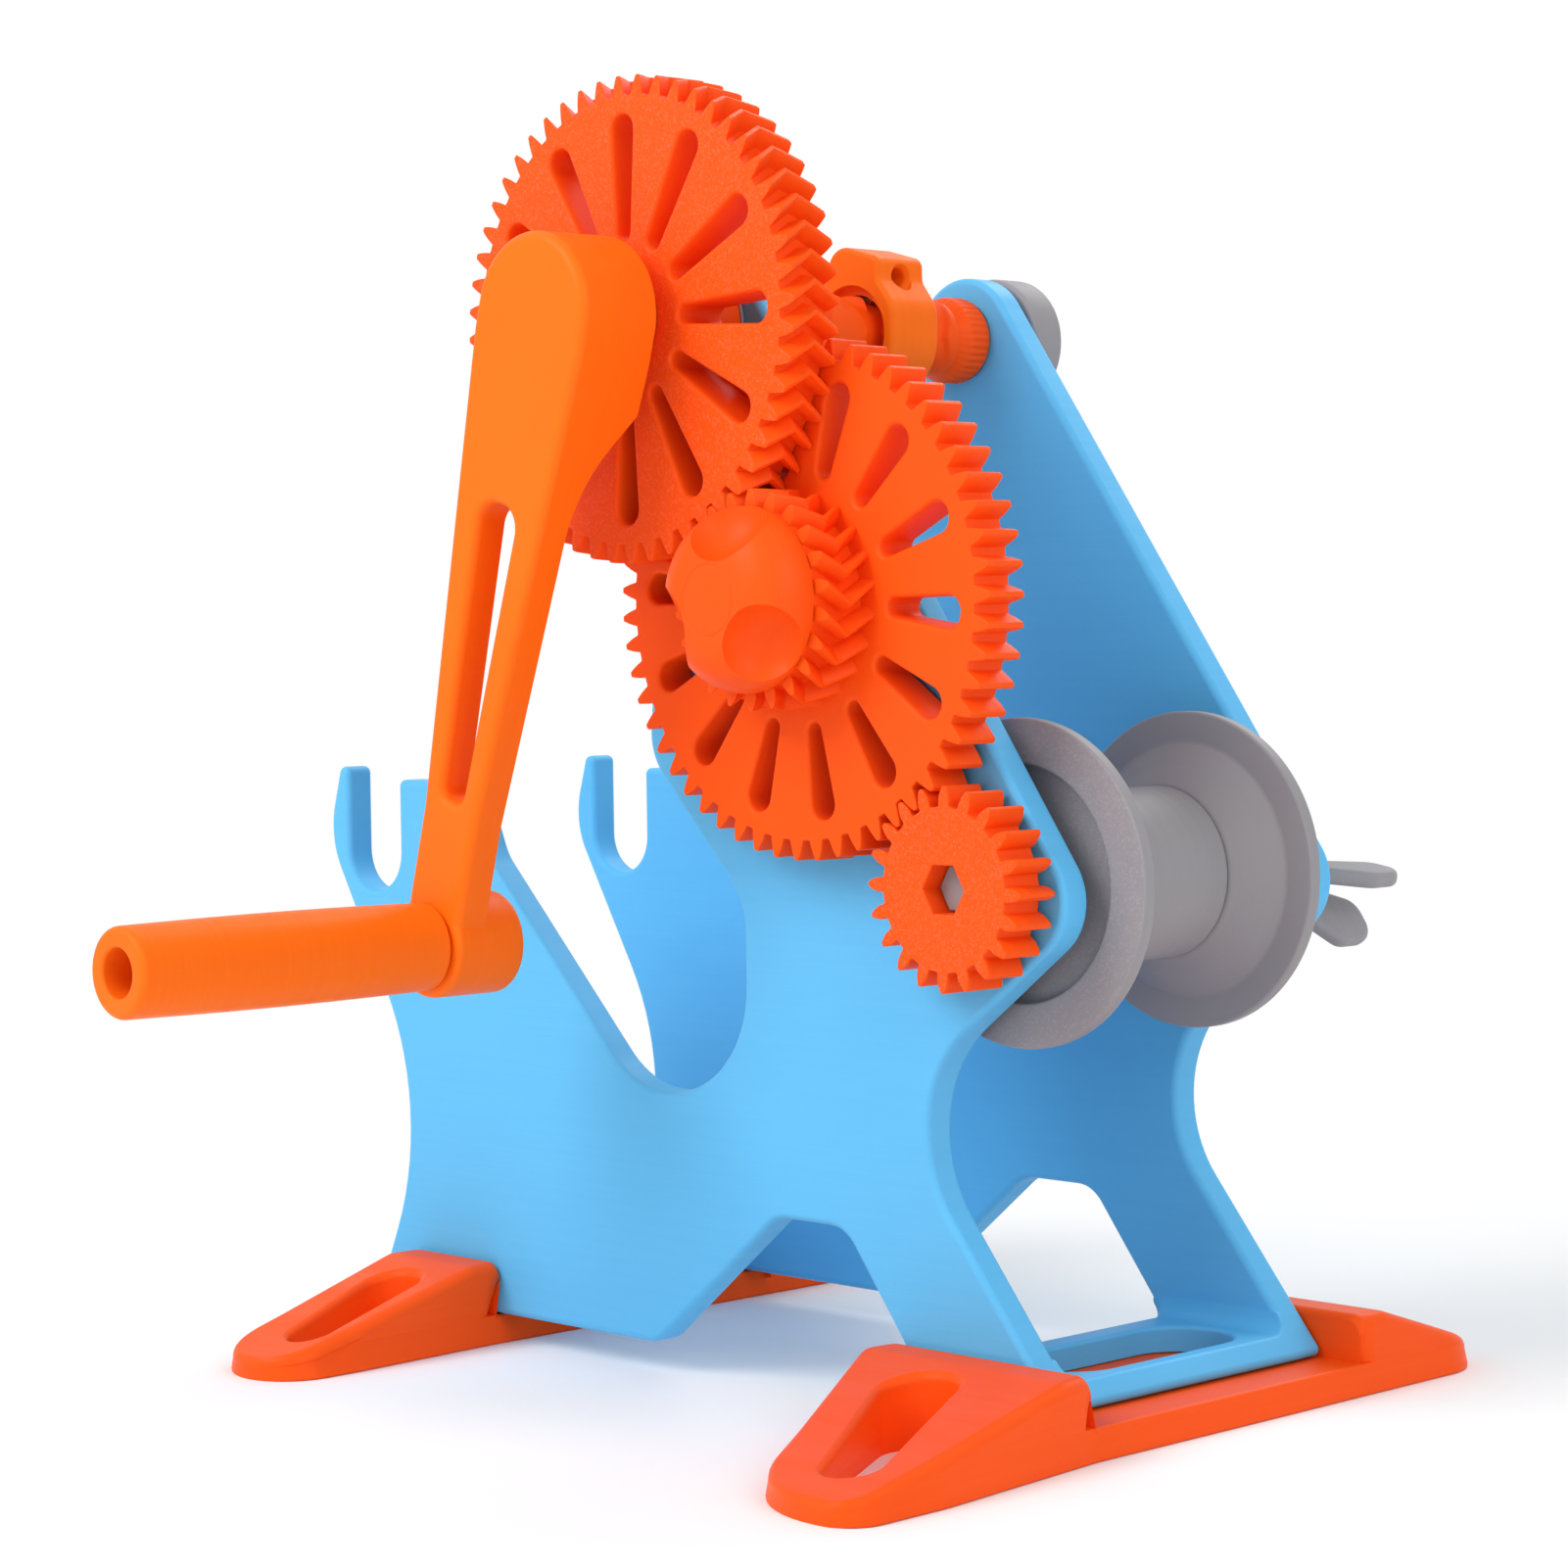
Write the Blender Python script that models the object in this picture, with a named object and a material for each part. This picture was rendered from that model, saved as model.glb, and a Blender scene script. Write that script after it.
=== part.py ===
"""Hand-cranked filament spool winder, printed in plastic, at its real size.

Directions: +X runs along the side plates from the rod hooks at the back to the spool axle at the
front, +Y runs from the crank side to the thumb nut side, +Z is up. The origin lies on the sole of
the front foot, under the spool axle and midway between the side plates. Units are metres.
"""
import math

import bpy
import bmesh
from mathutils import Vector
from mathutils.geometry import tessellate_polygon

# Running and seating gaps
GAP = 0.0003
OVERRUN = 0.002

# Gear train
GEAR_MODULE = 0.002
DRIVE_TEETH = 52
PINION_TEETH = 22
WHEEL_TEETH = 55
SPOOL_TEETH = 20
BACKLASH = 0.0004
PRESSURE_ANGLE = math.radians(20)
ADDENDUM_SHARE = 1.0
DEDENDUM_SHARE = 1.2
WHEEL_WIDTH = 0.011
HERRINGBONE_WIDTH = 0.0138
HELIX_ANGLE = math.radians(30)
WHEEL_DIRECTION = math.radians(124.65)
DRIVE_DIRECTION = math.radians(122.1)
GEAR_SLOT_MARGIN = 0.0042
GEAR_SLOT_WIDE = 0.0034
GEAR_SLOT_NARROW = 0.0020
DRIVE_SLOTS = 12
DRIVE_SLOT_INNER = 0.0175
WHEEL_SLOTS = 14
WHEEL_SLOT_INNER = 0.0272

# Frame
PLATE_THICKNESS = 0.008
FRAME_GAP = 0.075
EDGE_ROUND = 0.0016
SOLE_THICKNESS = 0.0070
SPOOL_AXIS_HEIGHT = 0.1187
NOSE_ROUND = 0.0132
TOWER_ROUND = 0.0152
ROD_REACH = 0.2094
ROD_SLOT_WIDTH = 0.0202
ROD_SLOT_DEPTH = 0.0280
HOOK_ROUND = 0.0208
HORN_TIP_WIDTH = 0.0038
POST_ROUND_SHARE = 0.0382
POST_HEEL_ROUND_SHARE = 0.0716
REAR_WAIST_ROUND_SHARE = 0.3104
VALLEY_ROUND_SHARE = 0.1251
TOWER_HEEL_ROUND_SHARE = 0.0840
TOWER_NECK_ROUND_SHARE = 0.0669
FRONT_WAIST_ROUND_SHARE = 0.1385
ARCH_ROUND_SHARE = 0.0454
LEG_FRONT = 0.0205
LEG_REAR = 0.0178
CROSS_THICKNESS = 0.0059
REAR_CROSS_DEPTH = 0.0295
CROSS_SLOT_WIDTH = 0.0245
CROSS_SLOT_LENGTH = 0.062
CROSS_SLOT_SETBACK = 0.0018

# Feet
FRONT_FOOT_WIDTH = 0.063
FRONT_FOOT_PLACE = 0.0005
FRONT_FOOT_FLARE = 0.0052
FRONT_LIP_HEIGHT = 0.0110
FRONT_NEAR_REACH = 0.079
FRONT_FAR_REACH = 0.0494
FRONT_TIP_SHARE = 0.103
FRONT_TIP_ROUNDS = (0.0085, 0.031, 0.017, 0.0115)
FRONT_SLOT_WIDTHS = (0.0170, 0.0120)
FRONT_SLOT_SIDE_SHARE = 0.1
FRONT_SLOT_SKEW_SHARE = 0.486
REAR_FOOT_WIDTH = 0.0345
REAR_FOOT_SETBACK = 0.02965
REAR_FOOT_FLARE = 0.0025
REAR_LIP_HEIGHT = 0.0135
REAR_NEAR_REACH = 0.068
REAR_FAR_REACH = 0.050
REAR_TIP_SHARE = -0.297
REAR_TIP_ROUNDS = (0.013, 0.0175, 0.013, 0.0115)
REAR_SLOT_WIDTHS = (0.0150, 0.0110)
REAR_SLOT_SIDE_SHARE = 0.3
REAR_SLOT_SKEW_SHARE = 0.177
FOOT_FLARE_SHARE = 0.65
FOOT_FLARE_ROUND = 0.040
FOOT_TIP_HEIGHT = 0.0048
FOOT_LIP_RUN = 0.009
FOOT_ROUND = 0.0022
FOOT_SLOT_START = 0.0235
FOOT_SLOT_INSET = 0.0175
FOOT_HIP_ROUND = 0.0115

# Crank
CRANK_LENGTH = 0.1449
CRANK_LEAN = math.radians(254.4)
HUB_RADIUS = 0.0181
HUB_THICKNESS = 0.0211
SPACER_LENGTH = 0.0068
ARM_THICKNESS = 0.0082
SMALL_END_RADIUS = 0.0115
SMALL_END_THICKNESS = 0.0195
ARM_NECK_WIDTH = 0.0186
CRANK_SLOT_TOP_WIDTH = 0.0125
CRANK_SLOT_END_WIDTH = 0.0070
CRANK_CHAMFER = 0.0024
HANDLE_LENGTH = 0.083
HANDLE_RADIUS = 0.0100
HANDLE_TIP_RADIUS = 0.0104
HANDLE_BORE = 0.0054
CRANK_PIN_RADIUS = 0.0034
CRANK_PIN_HEAD_RADIUS = 0.0050
CRANK_PIN_HEAD_LENGTH = 0.004
CRANK_PIN_LENGTH = 0.052
PIN_WASHER_RADIUS = 0.0064
PIN_WASHER_LENGTH = 0.0015

# Shafts and bearings
SHAFT_RADIUS = 0.0070
BUSH_WALL = 0.0020
BUSH_FLANGE = 0.0012
BUSH_FLANGE_WIDTH = 0.0020
RUNNING_GAP = 0.0003
STUD_RADIUS = 0.0060
KNOB_RADIUS = 0.0202
KNOB_HEIGHT = 0.0125
KNOB_DOME_RADIUS = 0.0098
KNOB_DENTS = 3

# Traverse screw and its filament guide
SCREW_RADIUS = 0.0090
SCREW_ROOT_RADIUS = 0.0070
SCREW_LEAD = 0.0200
SCREW_LAND_SHARE = 0.60
COLLAR_RADIUS = 0.0103
COLLAR_LENGTH = 0.0162
COLLAR_KNURLS = 36
END_KNOB_RADIUS = 0.0155
END_KNOB_LENGTH = 0.0096
GUIDE_WALL = 0.0046
GUIDE_LENGTH = 0.0162
GUIDE_HEAD_HEIGHT = 0.0215
GUIDE_FRONT_HEIGHT = 0.0176
GUIDE_FRONT_REACH = 0.0092
GUIDE_ROUND = 0.0026
GUIDE_REST_SHARE = 0.86
EYELET_RADIUS = 0.0022
PAWL_BOSS_REACH = 0.0192
PAWL_RADIUS = 0.0040
PAWL_CAP_RADIUS = 0.0064
PAWL_CAP_LENGTH = 0.0028
PAWL_CAP_PLUG = 0.0030

# Spool cones and axle
FLANGE_RADIUS = 0.0357
FLANGE_THICKNESS = 0.0034
CONE_RADIUS = 0.02865
CORE_RADIUS = 0.0193
CONE_LENGTH = 0.0082
FLANGE_INSET = 0.0032
FAR_FLANGE_INSET = 0.0125
RECESS_RADIUS = 0.0258
RECESS_DEPTH = 0.0026
HEX_ACROSS_FLATS = 0.0098
AXLE_RADIUS = 0.0072
AXLE_THREAD_RADIUS = 0.0050
NUT_HUB_RADIUS = 0.0090
NUT_HUB_LENGTH = 0.0120
EAR_SPAN = 0.0232
EAR_LENGTH = 0.0260
EAR_THICKNESS = 0.0040
EAR_ROUND = 0.0050
EAR_MIDDLE = math.radians(-33)
EAR_SPREAD = math.radians(23)

# Places worked out from the sizes above
PLATE_NEAR_OUT = -FRAME_GAP / 2 - PLATE_THICKNESS
PLATE_NEAR_IN = -FRAME_GAP / 2
PLATE_FAR_IN = FRAME_GAP / 2
PLATE_FAR_OUT = FRAME_GAP / 2 + PLATE_THICKNESS
WHEEL_CENTRES = GEAR_MODULE * (WHEEL_TEETH + SPOOL_TEETH) / 2
DRIVE_CENTRES = GEAR_MODULE * (DRIVE_TEETH + PINION_TEETH) / 2
SPOOL_AXIS = (0.0, SPOOL_AXIS_HEIGHT)
STUD_AXIS = (WHEEL_CENTRES * math.cos(WHEEL_DIRECTION),
             SPOOL_AXIS_HEIGHT + WHEEL_CENTRES * math.sin(WHEEL_DIRECTION))
CRANK_AXIS = (STUD_AXIS[0] + DRIVE_CENTRES * math.cos(DRIVE_DIRECTION),
              STUD_AXIS[1] + DRIVE_CENTRES * math.sin(DRIVE_DIRECTION))
HANDLE_AXIS = (CRANK_AXIS[0] + CRANK_LENGTH * math.cos(CRANK_LEAN),
               CRANK_AXIS[1] + CRANK_LENGTH * math.sin(CRANK_LEAN))
PLATE_FOOT = SOLE_THICKNESS + GAP
WHEEL_BACK = PLATE_NEAR_OUT - BUSH_FLANGE - RUNNING_GAP
WHEEL_FRONT = WHEEL_BACK - WHEEL_WIDTH
HERRINGBONE_BACK = WHEEL_FRONT - GAP
HERRINGBONE_FRONT = HERRINGBONE_BACK - HERRINGBONE_WIDTH
HUB_BACK = HERRINGBONE_FRONT - SPACER_LENGTH
HUB_FRONT = HUB_BACK - HUB_THICKNESS
SOCKET_FLOOR = HUB_FRONT + HUB_THICKNESS * 0.35
SCREW_START = PLATE_NEAR_IN + RUNNING_GAP
SCREW_END = PLATE_FAR_IN - COLLAR_LENGTH - RUNNING_GAP
GUIDE_START = SCREW_START + (SCREW_END - SCREW_START - GUIDE_LENGTH) * GUIDE_REST_SHARE
GUIDE_MIDDLE = GUIDE_START + GUIDE_LENGTH / 2

BLUE = (0.14, 0.52, 0.84, 1.0)
ORANGE = (0.95, 0.12, 0.01, 1.0)
AMBER = (0.98, 0.22, 0.01, 1.0)
GREY = (0.32, 0.31, 0.33, 1.0)


def clear_scene():
    """Remove every object of the open scene."""
    for item in list(bpy.data.objects):
        bpy.data.objects.remove(item, do_unlink=True)


def finish_material(name, colour, roughness, metallic):
    """Principled material of one object."""
    material = bpy.data.materials.new(name)
    material.use_nodes = True
    shader = material.node_tree.nodes["Principled BSDF"]
    shader.inputs["Base Color"].default_value = colour
    shader.inputs["Roughness"].default_value = roughness
    shader.inputs["Metallic"].default_value = metallic
    material.diffuse_color = colour
    return material


def add_object(name, points, faces, pivot, colour, roughness=0.45, metallic=0.0):
    """Closed mesh object whose origin is at pivot, from points in the common frame."""
    mesh = bpy.data.meshes.new(name)
    base = Vector(pivot)
    mesh.from_pydata([Vector(p) - base for p in points], [], faces)
    work = bmesh.new()
    work.from_mesh(mesh)
    bmesh.ops.recalc_face_normals(work, faces=work.faces)
    work.to_mesh(mesh)
    work.free()
    mesh.shade_smooth()
    mesh.set_sharp_from_angle(angle=math.radians(35))
    item = bpy.data.objects.new(name, mesh)
    item.location = base
    item.data.materials.append(finish_material(name, colour, roughness, metallic))
    bpy.context.scene.collection.objects.link(item)
    return item


def circle(centre, radius, count, start=0.0):
    """Points of a circle in the XZ plane, counter-clockwise."""
    return [(centre[0] + radius * math.cos(start + 2 * math.pi * k / count),
             centre[1] + radius * math.sin(start + 2 * math.pi * k / count)) for k in range(count)]


def rounded_outline(corners, step=math.radians(18)):
    """Outline from corners (x, z, radius): each corner becomes an arc tangent to its two sides."""
    points = []
    count = len(corners)
    for k, (x, z, radius) in enumerate(corners):
        here = Vector((x, z))
        before = Vector(corners[k - 1][:2]) - here
        after = Vector(corners[(k + 1) % count][:2]) - here
        before.normalize()
        after.normalize()
        turn = math.pi - before.angle(after)
        reach = radius * math.tan(turn / 2)
        if reach == 0:
            points.append((x, z))
            continue
        bisector = (before + after).normalized()
        centre = here + bisector * (radius / math.cos(turn / 2))
        start = here + before * reach - centre
        end = here + after * reach - centre
        first = math.atan2(start.y, start.x)
        sweep = math.atan2(start.x * end.y - start.y * end.x, start.dot(end))
        pieces = max(1, round(abs(sweep) / step))
        for i in range(pieces + 1):
            angle = first + sweep * i / pieces
            points.append((centre.x + radius * math.cos(angle), centre.y + radius * math.sin(angle)))
    return points


def inset(loop, amount):
    """Loop moved to its left by amount, along the mean normal of its two sides at each point."""
    moved = []
    count = len(loop)
    for k in range(count):
        here = Vector(loop[k])
        side_in = (here - Vector(loop[k - 1])).normalized()
        side_out = (Vector(loop[(k + 1) % count]) - here).normalized()
        normal = Vector((-side_in.y - side_out.y, side_in.x + side_out.x))
        scale = 2 * amount / max(normal.length_squared, 1.0)
        moved.append((here.x + normal.x * scale, here.y + normal.y * scale))
    return moved


def area(loop):
    """Signed area of a closed loop."""
    return sum(a[0] * b[1] - b[0] * a[1] for a, b in zip(loop, loop[1:] + loop[:1])) / 2


def wound(loop, left):
    """Loop wound counter-clockwise when left is true, else clockwise."""
    return loop if (area(loop) > 0) == left else loop[::-1]


class Shell:
    """Surface built from rings of points in planes across the Y axis."""

    def __init__(self):
        self.points = []
        self.faces = []

    def ring(self, y, loop):
        """Add a loop of (x, z) points at y and return its point numbers."""
        first = len(self.points)
        self.points.extend((x, y, z) for x, z in loop)
        return list(range(first, len(self.points)))

    def wall(self, lower, upper):
        """Join two rings of equal size with a band of faces."""
        count = len(lower)
        for k in range(count):
            m = (k + 1) % count
            self.faces.append((lower[k], lower[m], upper[m], upper[k]))

    def cap(self, rings):
        """Close the flat face between an outer ring and its holes."""
        numbers = [k for ring in rings for k in ring]
        flat = [[Vector((self.points[k][0], self.points[k][2], 0)) for k in ring] for ring in rings]
        for triangle in tessellate_polygon(flat):
            self.faces.append(tuple(numbers[k] for k in triangle))


def stacked_mesh(levels):
    """Points and faces of a solid from levels (y, loops); the first loop is the outer one."""
    shell = Shell()
    rows = [[shell.ring(y, loop) for loop in loops] for y, loops in levels]
    for lower, upper in zip(rows, rows[1:]):
        for low_ring, high_ring in zip(lower, upper):
            shell.wall(low_ring, high_ring)
    shell.cap(rows[0])
    shell.cap(rows[-1])
    return shell.points, shell.faces


def rounded_levels(outer, holes, low, high, edge_low, edge_high):
    """Levels of a slab along Y whose outer loop and holes are broken by edge at its two faces."""
    rows = [(low, 0.0)]
    if edge_low:
        rows = [(low, edge_low), (low + edge_low, 0.0)]
    rows.append((high - edge_high, 0.0))
    if edge_high:
        rows.append((high, edge_high))
    levels = []
    for y, amount in rows:
        loops = [inset(wound(outer, True), amount)]
        loops += [inset(wound(hole, False), amount) for hole in holes]
        levels.append((y, loops))
    return levels


def turned_mesh(centre, profile, count, start=0.0):
    """Solid of revolution about the Y axis through centre; profile is a loop of (radius, y)."""
    points = []
    rings = []
    for radius, y in profile:
        if radius == 0:
            rings.append([len(points)])
            points.append((centre[0], y, centre[1]))
        else:
            rings.append(list(range(len(points), len(points) + count)))
            points.extend((x, y, z) for x, z in circle(centre, radius, count, start))
    faces = []
    for ring, following in zip(rings, rings[1:] + rings[:1]):
        for k in range(count):
            m = (k + 1) % count
            quad = [ring[k % len(ring)], ring[m % len(ring)],
                    following[m % len(following)], following[k % len(following)]]
            corners = list(dict.fromkeys(quad))
            if len(corners) > 2:
                faces.append(tuple(corners))
    return points, faces


def cut(item, cutter, operation="DIFFERENCE"):
    """Boolean of item with a hidden cutter object."""
    cutter.hide_render = True
    cutter.display_type = "WIRE"
    modifier = item.modifiers.new(cutter.name, "BOOLEAN")
    modifier.operation = operation
    modifier.solver = "EXACT"
    modifier.object = cutter


def involute(base_radius, radius):
    """Polar angle of the involute of a base circle at a radius."""
    if radius <= base_radius:
        return 0.0
    pressure = math.acos(base_radius / radius)
    return math.tan(pressure) - pressure


def gear_loop(centre, teeth, phase, samples=2):
    """Outline of an involute gear with a tooth centred on the angle phase."""
    pitch = GEAR_MODULE * teeth / 2
    base = pitch * math.cos(PRESSURE_ANGLE)
    root = pitch - DEDENDUM_SHARE * GEAR_MODULE
    tip = pitch + ADDENDUM_SHARE * GEAR_MODULE
    half_pitch = (math.pi * GEAR_MODULE / 2 - BACKLASH) / pitch / 2
    start = max(base, root)
    radii = [root] + [start + (tip - start) * (k + 0.5) / (samples - 0.5) for k in range(samples)]
    loop = []
    for tooth in range(teeth):
        middle = phase + 2 * math.pi * tooth / teeth
        flank = []
        for radius in radii:
            half = half_pitch + involute(base, pitch) - involute(base, radius)
            flank.append((radius, half))
        flank[0] = (root, min(half_pitch + involute(base, pitch) * 1.6, math.pi / teeth * 0.86))
        for radius, half in flank:
            loop.append((radius, middle - half))
        for radius, half in reversed(flank):
            loop.append((radius, middle + half))
    return [(centre[0] + r * math.cos(a), centre[1] + r * math.sin(a)) for r, a in loop]


def tapered_slot(start, end, start_radius, end_radius, steps=4):
    """Slot outline with two round ends of different radius, between two places in a plane."""
    heading = math.atan2(end[1] - start[1], end[0] - start[0])
    length = math.hypot(end[0] - start[0], end[1] - start[1])
    lean = math.asin((end_radius - start_radius) / length)
    loop = []
    for place, radius, first, sweep in (
            (end, end_radius, heading - math.pi / 2 - lean, math.pi + 2 * lean),
            (start, start_radius, heading + math.pi / 2 + lean, math.pi - 2 * lean)):
        for k in range(steps + 1):
            turn = first + sweep * k / steps
            loop.append((place[0] + radius * math.cos(turn), place[1] + radius * math.sin(turn)))
    return loop


def radial_slot(centre, angle, inner, outer, narrow, wide):
    """Tapered slot that points away from centre and widens outwards."""
    along = (math.cos(angle), math.sin(angle))
    near = (centre[0] + along[0] * (inner + narrow), centre[1] + along[1] * (inner + narrow))
    far = (centre[0] + along[0] * (outer - wide), centre[1] + along[1] * (outer - wide))
    return tapered_slot(near, far, narrow, wide)


def wrap_corner(centre, radius, before, after):
    """Corner whose sides, from before and on to after, both touch the circle round centre."""
    lines = []
    for place, hand in ((before, 1), (after, -1)):
        away = Vector(centre) - Vector(place)
        angle = math.atan2(away.y, away.x) + hand * math.asin(radius / away.length)
        lines.append((Vector(place), Vector((math.cos(angle), math.sin(angle)))))
    (start, along), (end, back) = lines
    return start + along * ((end - start).cross(back) / along.cross(back))


def plate_outline():
    """Outline of a side plate: hook, rod slot, valley, tower, nose, waist, leg and arch."""
    foot = PLATE_FOOT
    nose = SPOOL_AXIS_HEIGHT
    rise = nose - foot
    slot_left = -ROD_REACH - ROD_SLOT_WIDTH / 2
    slot_right = -ROD_REACH + ROD_SLOT_WIDTH / 2
    post_top = nose + rise * 0.170
    horn_top = post_top + HORN_TIP_WIDTH * 0.76
    slot_floor = post_top - ROD_SLOT_DEPTH
    run = ROD_REACH
    tip = HORN_TIP_WIDTH * 0.46
    neck = (-run * 0.505, nose + rise * 0.238)
    front = (NOSE_ROUND * 2.12, nose - NOSE_ROUND * 0.42)
    tower = wrap_corner(CRANK_AXIS, TOWER_ROUND, neck, front)
    return [
        (-run * 1.008, foot, EDGE_ROUND),
        (-run * 0.905, foot + rise * 0.432, run * REAR_WAIST_ROUND_SHARE),
        (slot_left - HOOK_ROUND * 0.44, nose + rise * 0.034, HOOK_ROUND),
        (slot_left - HORN_TIP_WIDTH, horn_top, tip),
        (slot_left, horn_top, tip),
        (slot_left, slot_floor, ROD_SLOT_WIDTH * 0.495),
        (slot_right, slot_floor, ROD_SLOT_WIDTH * 0.495),
        (slot_right, post_top, EDGE_ROUND),
        (-run * 0.823, post_top, run * POST_ROUND_SHARE),
        (-run * 0.788, nose + rise * 0.010, run * POST_HEEL_ROUND_SHARE),
        (-run * 0.540, foot + rise * 0.536, run * VALLEY_ROUND_SHARE),
        (-run * 0.355, foot + rise * 0.536, run * VALLEY_ROUND_SHARE),
        (-run * 0.355, nose - rise * 0.057, run * TOWER_HEEL_ROUND_SHARE),
        (neck[0], neck[1], run * TOWER_NECK_ROUND_SHARE),
        (tower.x, tower.y, TOWER_ROUND),
        (front[0], front[1], NOSE_ROUND),
        (-run * 0.140, foot + rise * 0.556, run * FRONT_WAIST_ROUND_SHARE),
        (LEG_FRONT, foot, EDGE_ROUND),
        (-LEG_REAR, foot, EDGE_ROUND),
        (-run * 0.208, foot + rise * 0.303, run * ARCH_ROUND_SHARE),
        (-run * 0.310, foot + rise * 0.303, run * ARCH_ROUND_SHARE),
        (-run * 0.506, foot, run * ARCH_ROUND_SHARE),
    ]


def add_side_plate(name, low, high):
    """One side plate with its three bores."""
    bush = SHAFT_RADIUS + RUNNING_GAP + BUSH_WALL + GAP
    axle = AXLE_RADIUS + RUNNING_GAP + BUSH_WALL + GAP
    outer = rounded_outline(plate_outline(), math.radians(24))
    holes = [circle(CRANK_AXIS, bush, 20), circle(SPOOL_AXIS, axle, 20)]
    if low < 0:
        holes.append(circle(STUD_AXIS, STUD_RADIUS + GAP, 20))
    levels = []
    for y, loops in rounded_levels(outer, holes, low, high, EDGE_ROUND, EDGE_ROUND):
        levels.append((y, [loops[0]] + [wound(hole, False) for hole in holes]))
    points, faces = stacked_mesh(levels)
    add_object(name, points, faces, (0, (low + high) / 2, 0), BLUE, 0.32)


def add_cross_member(name, rear, front, slotted):
    """Flat bar between the side plates, with an elongated hole where the foot shows through."""
    low = PLATE_NEAR_IN + GAP
    high = PLATE_FAR_IN - GAP
    base = PLATE_FOOT
    middle = (rear + front) / 2
    top = base + CROSS_THICKNESS
    section = wound(rounded_outline([(rear, base, EDGE_ROUND), (rear, top, EDGE_ROUND),
                                     (front, top, EDGE_ROUND), (front, base, EDGE_ROUND)],
                                    math.radians(45)), True)
    points, faces = stacked_mesh([(low, [section]), (high, [section])])
    bar = add_object(name, points, faces, (middle, 0, base), BLUE, 0.32)
    if slotted:
        radius = CROSS_SLOT_WIDTH / 2
        half = CROSS_SLOT_LENGTH / 2 - radius
        place = middle - CROSS_SLOT_SETBACK
        add_vertical_slot(bar, name + "_slot", (place, -half), (place, half), (radius, radius),
                          base - OVERRUN, top + OVERRUN)


def prism_faces(count):
    """Faces of a prism whose two end loops of count points follow each other."""
    sides = [(k, (k + 1) % count, count + (k + 1) % count, count + k) for k in range(count)]
    return [tuple(range(count)), tuple(range(count, 2 * count))] + sides


def add_vertical_slot(item, name, start, end, radii, low, high):
    """Cut a tapered hole with round ends through item along Z, between two places (x, y)."""
    loop = tapered_slot(start, end, radii[0], radii[1], 6)
    points = [(x, y, z) for z in (low, high) for x, y in loop]
    cut(item, add_object(name, points, prism_faces(len(loop)), (0, 0, 0), GREY))


def foot_plan(middle, width, flare, reaches, tip_share, rounds):
    """Plan outline of a foot in X and Y: the front side flares to the near tip, the back narrows."""
    near = PLATE_NEAR_OUT - reaches[0]
    far = PLATE_FAR_OUT + reaches[1]
    rear = middle - width / 2
    front = middle + width / 2
    tip = middle + width * tip_share
    return rounded_outline([
        (tip, near, rounds[1]), (front + flare, near, rounds[0]),
        (front + flare, PLATE_NEAR_OUT - reaches[0] * FOOT_FLARE_SHARE, FOOT_FLARE_ROUND),
        (front, PLATE_NEAR_OUT, FOOT_FLARE_ROUND),
        (front, far, rounds[2]), (tip, far, rounds[3]),
        (rear, PLATE_FAR_OUT + FOOT_LIP_RUN, FOOT_HIP_ROUND),
        (rear, PLATE_NEAR_OUT - FOOT_LIP_RUN, FOOT_HIP_ROUND)], math.radians(18))


def foot_side(lip_height, near_reach, far_reach):
    """Side outline of a foot in Y and Z: ramps, lips at the plates and the bar between them."""
    near = PLATE_NEAR_OUT - near_reach - OVERRUN
    far = PLATE_FAR_OUT + far_reach + OVERRUN
    lip = SOLE_THICKNESS + lip_height
    near_wall = PLATE_NEAR_OUT - GAP
    far_wall = PLATE_FAR_OUT + GAP
    return rounded_outline([
        (near, -OVERRUN, 0), (near, FOOT_TIP_HEIGHT, 0),
        (near_wall - FOOT_LIP_RUN, lip, FOOT_LIP_RUN), (near_wall, lip, FOOT_ROUND),
        (near_wall, SOLE_THICKNESS, 0), (far_wall, SOLE_THICKNESS, 0),
        (far_wall, lip, FOOT_ROUND), (far_wall + FOOT_LIP_RUN, lip, FOOT_LIP_RUN),
        (far, FOOT_TIP_HEIGHT, 0), (far, -OVERRUN, 0)], math.radians(30))


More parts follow.
